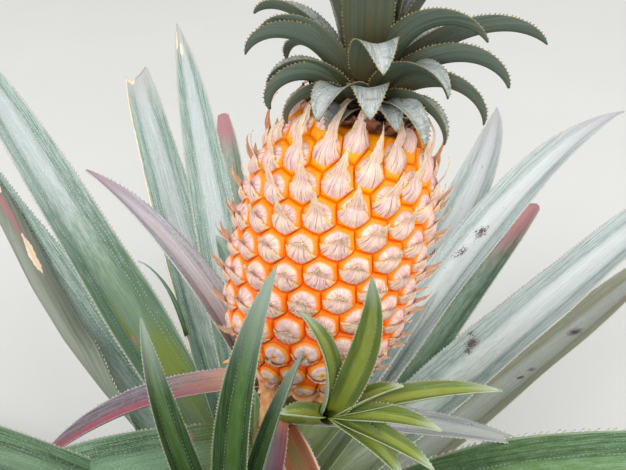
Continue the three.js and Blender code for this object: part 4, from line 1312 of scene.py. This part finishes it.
def add_bar(shape, start, end, radius, sides=16, rings=8):
    """Adds a round bar, open at its ends."""
    start, end = np.array(start, float), np.array(end, float)
    along = (end - start) / np.linalg.norm(end - start)
    side = np.cross(along, [0, 0, 1])
    side /= np.linalg.norm(side)
    over = np.cross(side, along)
    angle = circle(sides)[:, None]
    ring = side * np.cos(angle) + over * np.sin(angle)
    shares = np.linspace(0, 1, rings)[:, None, None]
    swell = radius * (1 + 0.15 * np.sin(shares * 20))
    points = (start + (end - start) * shares + ring * swell).reshape(-1, 3)
    shape.add(points, ring_faces(rings, sides)[:, ::-1], 0, share=0.5)


def slip_pieces():
    dark = leaf_material("slip_dark", SLIP_DARK_COLOURS)
    light = leaf_material("slip_light", LIGHT_COLOURS)
    thorn = thorn_material("slip_thorn", (160, 172, 130), (180, 168, 140))
    for number, (name, slip) in enumerate(SLIPS.items()):
        rng = np.random.default_rng(300 + number)
        shape = Shape()
        heart = np.array(slip["heart"], float)
        add_bar(shape, slip["start"], heart, SLIP_STALK_RADIUS)
        for leaf in slip["leaves"]:
            look = dict(SLIP_LOOK, tone=-0.18 if leaf["rise"] > SLIP_UPRIGHT else 0.0)
            add_blade(shape, leaf, heart + SLIP_HEART_RADIUS * outward_way(leaf["az"]), look, rng)
        skin = dark if name == "slip_front_left" else light
        shape.build(name + "_leaves", [skin, thorn], [name])


def heart_leaf(i):
    """One of the crown's inmost leaves, each a little shorter and straighter than the last."""
    az = CROWN_HEART_START + GOLDEN_ANGLE * i
    return blade(az, 78 + i, 30 - 3 * i, 128 - 5 * i, 28 - 1.5 * i, up=28 + 1.5 * i)


def crown_axis(up):
    """The point of the crown's axis at a height over the fruit's top."""
    return placed(np.array([0, 0, up]), CROWN_FRAME)


def crown_piece():
    rng = np.random.default_rng(400)
    shape = Shape()
    for leaf in CROWN + [heart_leaf(i) for i in range(CROWN_HEART_LEAVES)]:
        radius = CROWN_FOOT_RADIUS * (1 - 0.7 * leaf["up"] / CROWN_CORE_HEIGHT)
        root = crown_axis(leaf["up"]) + outward_way(leaf["az"]) * radius
        add_blade(shape, leaf, root, CROWN_LOOK, rng)
    rings, sides = 12, 24
    ends = [-3, CROWN_CORE_HEIGHT + 3]
    heights = np.linspace(*ends, rings)
    radii = np.interp(heights, ends, [CROWN_FOOT_RADIUS, 5])
    centres = np.stack([0 * heights, 0 * heights, heights], -1)
    core = tube(centres, np.repeat(radii[:, None], sides, axis=1))
    shape.add(placed(core, CROWN_FRAME), ring_faces(rings, sides), 2)
    for number in range(CROWN_SCALES):
        az = GOLDEN_ANGLE * number
        scale = blade(az, rng.uniform(0, 34), rng.uniform(0, 30), rng.uniform(9, 14), 11)
        foot = crown_axis(rng.uniform(-1, 7)) + outward_way(az) * (CROWN_FOOT_RADIUS - FOOT_SUNK)
        add_scale(shape, scale, foot, 2, rng)
    skin = leaf_material("crown_blade", CROWN_COLOURS)
    thorn = thorn_material("crown_thorn", (176, 160, 90), (130, 100, 60))
    core_skin = mottled_material("crown_core", (58, 34, 28), (128, 74, 52), 160.0)
    shape.build("crown_leaves", [skin, thorn, core_skin], ["crown"])


def add_scale_row(shape, row, rng):
    """Adds a row of free scales round one of the fruit's ends, every other one a little higher."""
    for number in range(row["count"]):
        turn = 2 * math.pi * (number + rng.uniform(-0.2, 0.2)) / row["count"]
        foot = skin_point(turn, row["share"] + row["step"] * (number % 2), row["raised"])
        drawn = [rng.uniform(*row[key]) for key in ("rise", "bend", "length", "width")]
        add_scale(shape, blade(math.degrees(turn), *drawn), foot, row["slot"], rng)


def fruit_pieces():
    rng = np.random.default_rng(500)
    body = Shape()
    bracts = Shape()
    for n in range(EYES):
        eye = Eye(n)
        add_eye(body, eye, rng)
        add_bract(bracts, eye, rng)
    add_scale_row(bracts, TOP_SCALES, rng)
    add_scale_row(bracts, FOOT_SCALES, rng)
    foot = skin_point(math.radians(HANGING_SCALE["az"]), HANGING_SHARE, FOOT_SCALES["raised"])
    add_scale(bracts, HANGING_SCALE, foot, FOOT_SCALES["slot"], rng)

    # A plain skin just under the grooves closes both ends
    rings, sides = 40, 48
    turns, shares = np.meshgrid(circle(sides), np.linspace(0.0005, 0.9995, rings))
    core = skin_point(turns, shares, -GROOVE_DEPTH - 0.2).reshape(-1, 3)
    body.add(core, ring_faces(rings, sides), 0, height=shares.ravel(), rho=0.9)
    body.build("fruit_eyes", [rim_material(), face_material()], ["fruit"])
    dried = mottled_material("fruit_dry_bract", (226, 154, 96), (242, 190, 136), 240.0)
    dead = mottled_material("fruit_top_scale", (66, 38, 30), (150, 96, 70), 200.0)
    bracts.build("fruit_bracts", [bract_material(), dried, dead], [])


def turned_piece(name, node, radius_at, centre_at, low, high, rows, sides, material):
    """A stem-like piece: rings of a given radius round a centre line, closed at both ends."""
    heights = np.linspace(low, high, rows)
    centres = np.array([centre_at(z) for z in heights])
    rings = tube(centres, radius_at(heights[:, None], circle(sides)[None, :]))
    points = np.concatenate([centres[:1], rings, centres[-1:]])
    shape = Shape()
    shape.add(points, ring_faces(rows, sides) + 1, 0)
    j = np.arange(sides)
    k = (j + 1) % sides
    last = 1 + (rows - 1) * sides
    foot = np.stack([0 * j, 1 + k, 1 + j], -1)
    top = np.stack([0 * j + len(points) - 1, last + j, last + k], -1)
    shape.add_faces(np.concatenate([foot, top]), 0, len(points))
    shape.build(name, [material], [node])


def stem_pieces():
    bark = mottled_material("stem_bark", (96, 80, 52), (142, 122, 82), 70.0, 0.85, 0.0012)
    green = mottled_material("stalk_skin", (120, 92, 60), (150, 128, 84), 110.0, 0.7, 0.0008)
    heights = [0, STEM_WIDE_AT, STEM_TOP - 14, STEM_TOP]
    radii = [STEM_FOOT_RADIUS, STEM_RADIUS, STEM_RADIUS - 6, STALK_RADIUS + 3]

    def bark_radius(z, angle):
        scars = np.abs(np.sin(z / 9 * math.pi + 2 * angle)) ** 3
        ridges = 0.5 * np.sin(11 * angle + z / 14)
        return np.interp(z, heights, radii) - 1.4 * scars * clamp(z / 6) + 0.4 * ridges * clamp(z / 6)

    def stalk_radius(z, angle):
        return STALK_RADIUS + 0.5 * np.sin(7 * angle) - 0.8 * np.abs(np.sin(z / 12 * math.pi)) ** 8

    def stem_centre(z):
        return np.array([0, 0, z])

    stalk_top = FRUIT_FOOT[2] + 6
    turned_piece("stem_bark", "stem", bark_radius, stem_centre, 0, STEM_TOP, 130, 48, bark)
    turned_piece("stalk_skin", "stalk", stalk_radius, stalk_centre, STEM_TOP, stalk_top, 40, 32, green)


# Studio


def studio():
    mesh = bpy.data.meshes.new("floor")
    half = FLOOR_SIZE / 2
    corners = [(-half, -half, 0), (half, -half, 0), (half, half, 0), (-half, half, 0)]
    mesh.from_pydata(corners, [], [(0, 1, 2, 3)])
    floor = bpy.data.objects.new("floor", mesh)
    bpy.context.scene.collection.objects.link(floor)
    paint = Skin("floor_paint")
    paint.colour = paint.mix(paint.noise(paint.place(), 3.0), (204, 202, 196), (212, 210, 204))
    mesh.materials.append(paint.finish(0.9))

    world = bpy.data.worlds.new("studio")
    world.use_nodes = True
    sky = world.node_tree.nodes["Background"]
    sky.inputs["Color"].default_value = SKY_COLOUR
    sky.inputs["Strength"].default_value = SKY_STRENGTH
    bpy.context.scene.world = world

    for name, (place, size, power) in LIGHTS.items():
        light = bpy.data.lights.new(name, "AREA")
        light.size = size
        light.energy = power
        lamp = bpy.data.objects.new(name, light)
        bpy.context.scene.collection.objects.link(lamp)
        lamp.location = place
        way = np.array(LIGHT_AIM) - np.array(place)
        level = math.hypot(way[0], way[1])
        lamp.rotation_euler = (math.atan2(level, -way[2]), 0, math.atan2(way[1], way[0]) - math.pi / 2)


def photo_camera():
    data = bpy.data.cameras.new("photo_camera")
    data.sensor_width = SENSOR_WIDTH
    data.lens = FOCAL_PIXELS / PHOTO_WIDTH * SENSOR_WIDTH
    camera = bpy.data.objects.new("photo_camera", data)
    bpy.context.scene.collection.objects.link(camera)
    camera.location = CAMERA_PLACE
    camera.rotation_euler = (math.radians(90 - CAMERA_PITCH), 0, 0)
    bpy.context.scene.camera = camera


photo_camera()
studio()
bpy.context.scene.view_settings.view_transform = "Standard"
stem_pieces()
fruit_pieces()
crown_piece()
slip_pieces()
leaf_pieces()
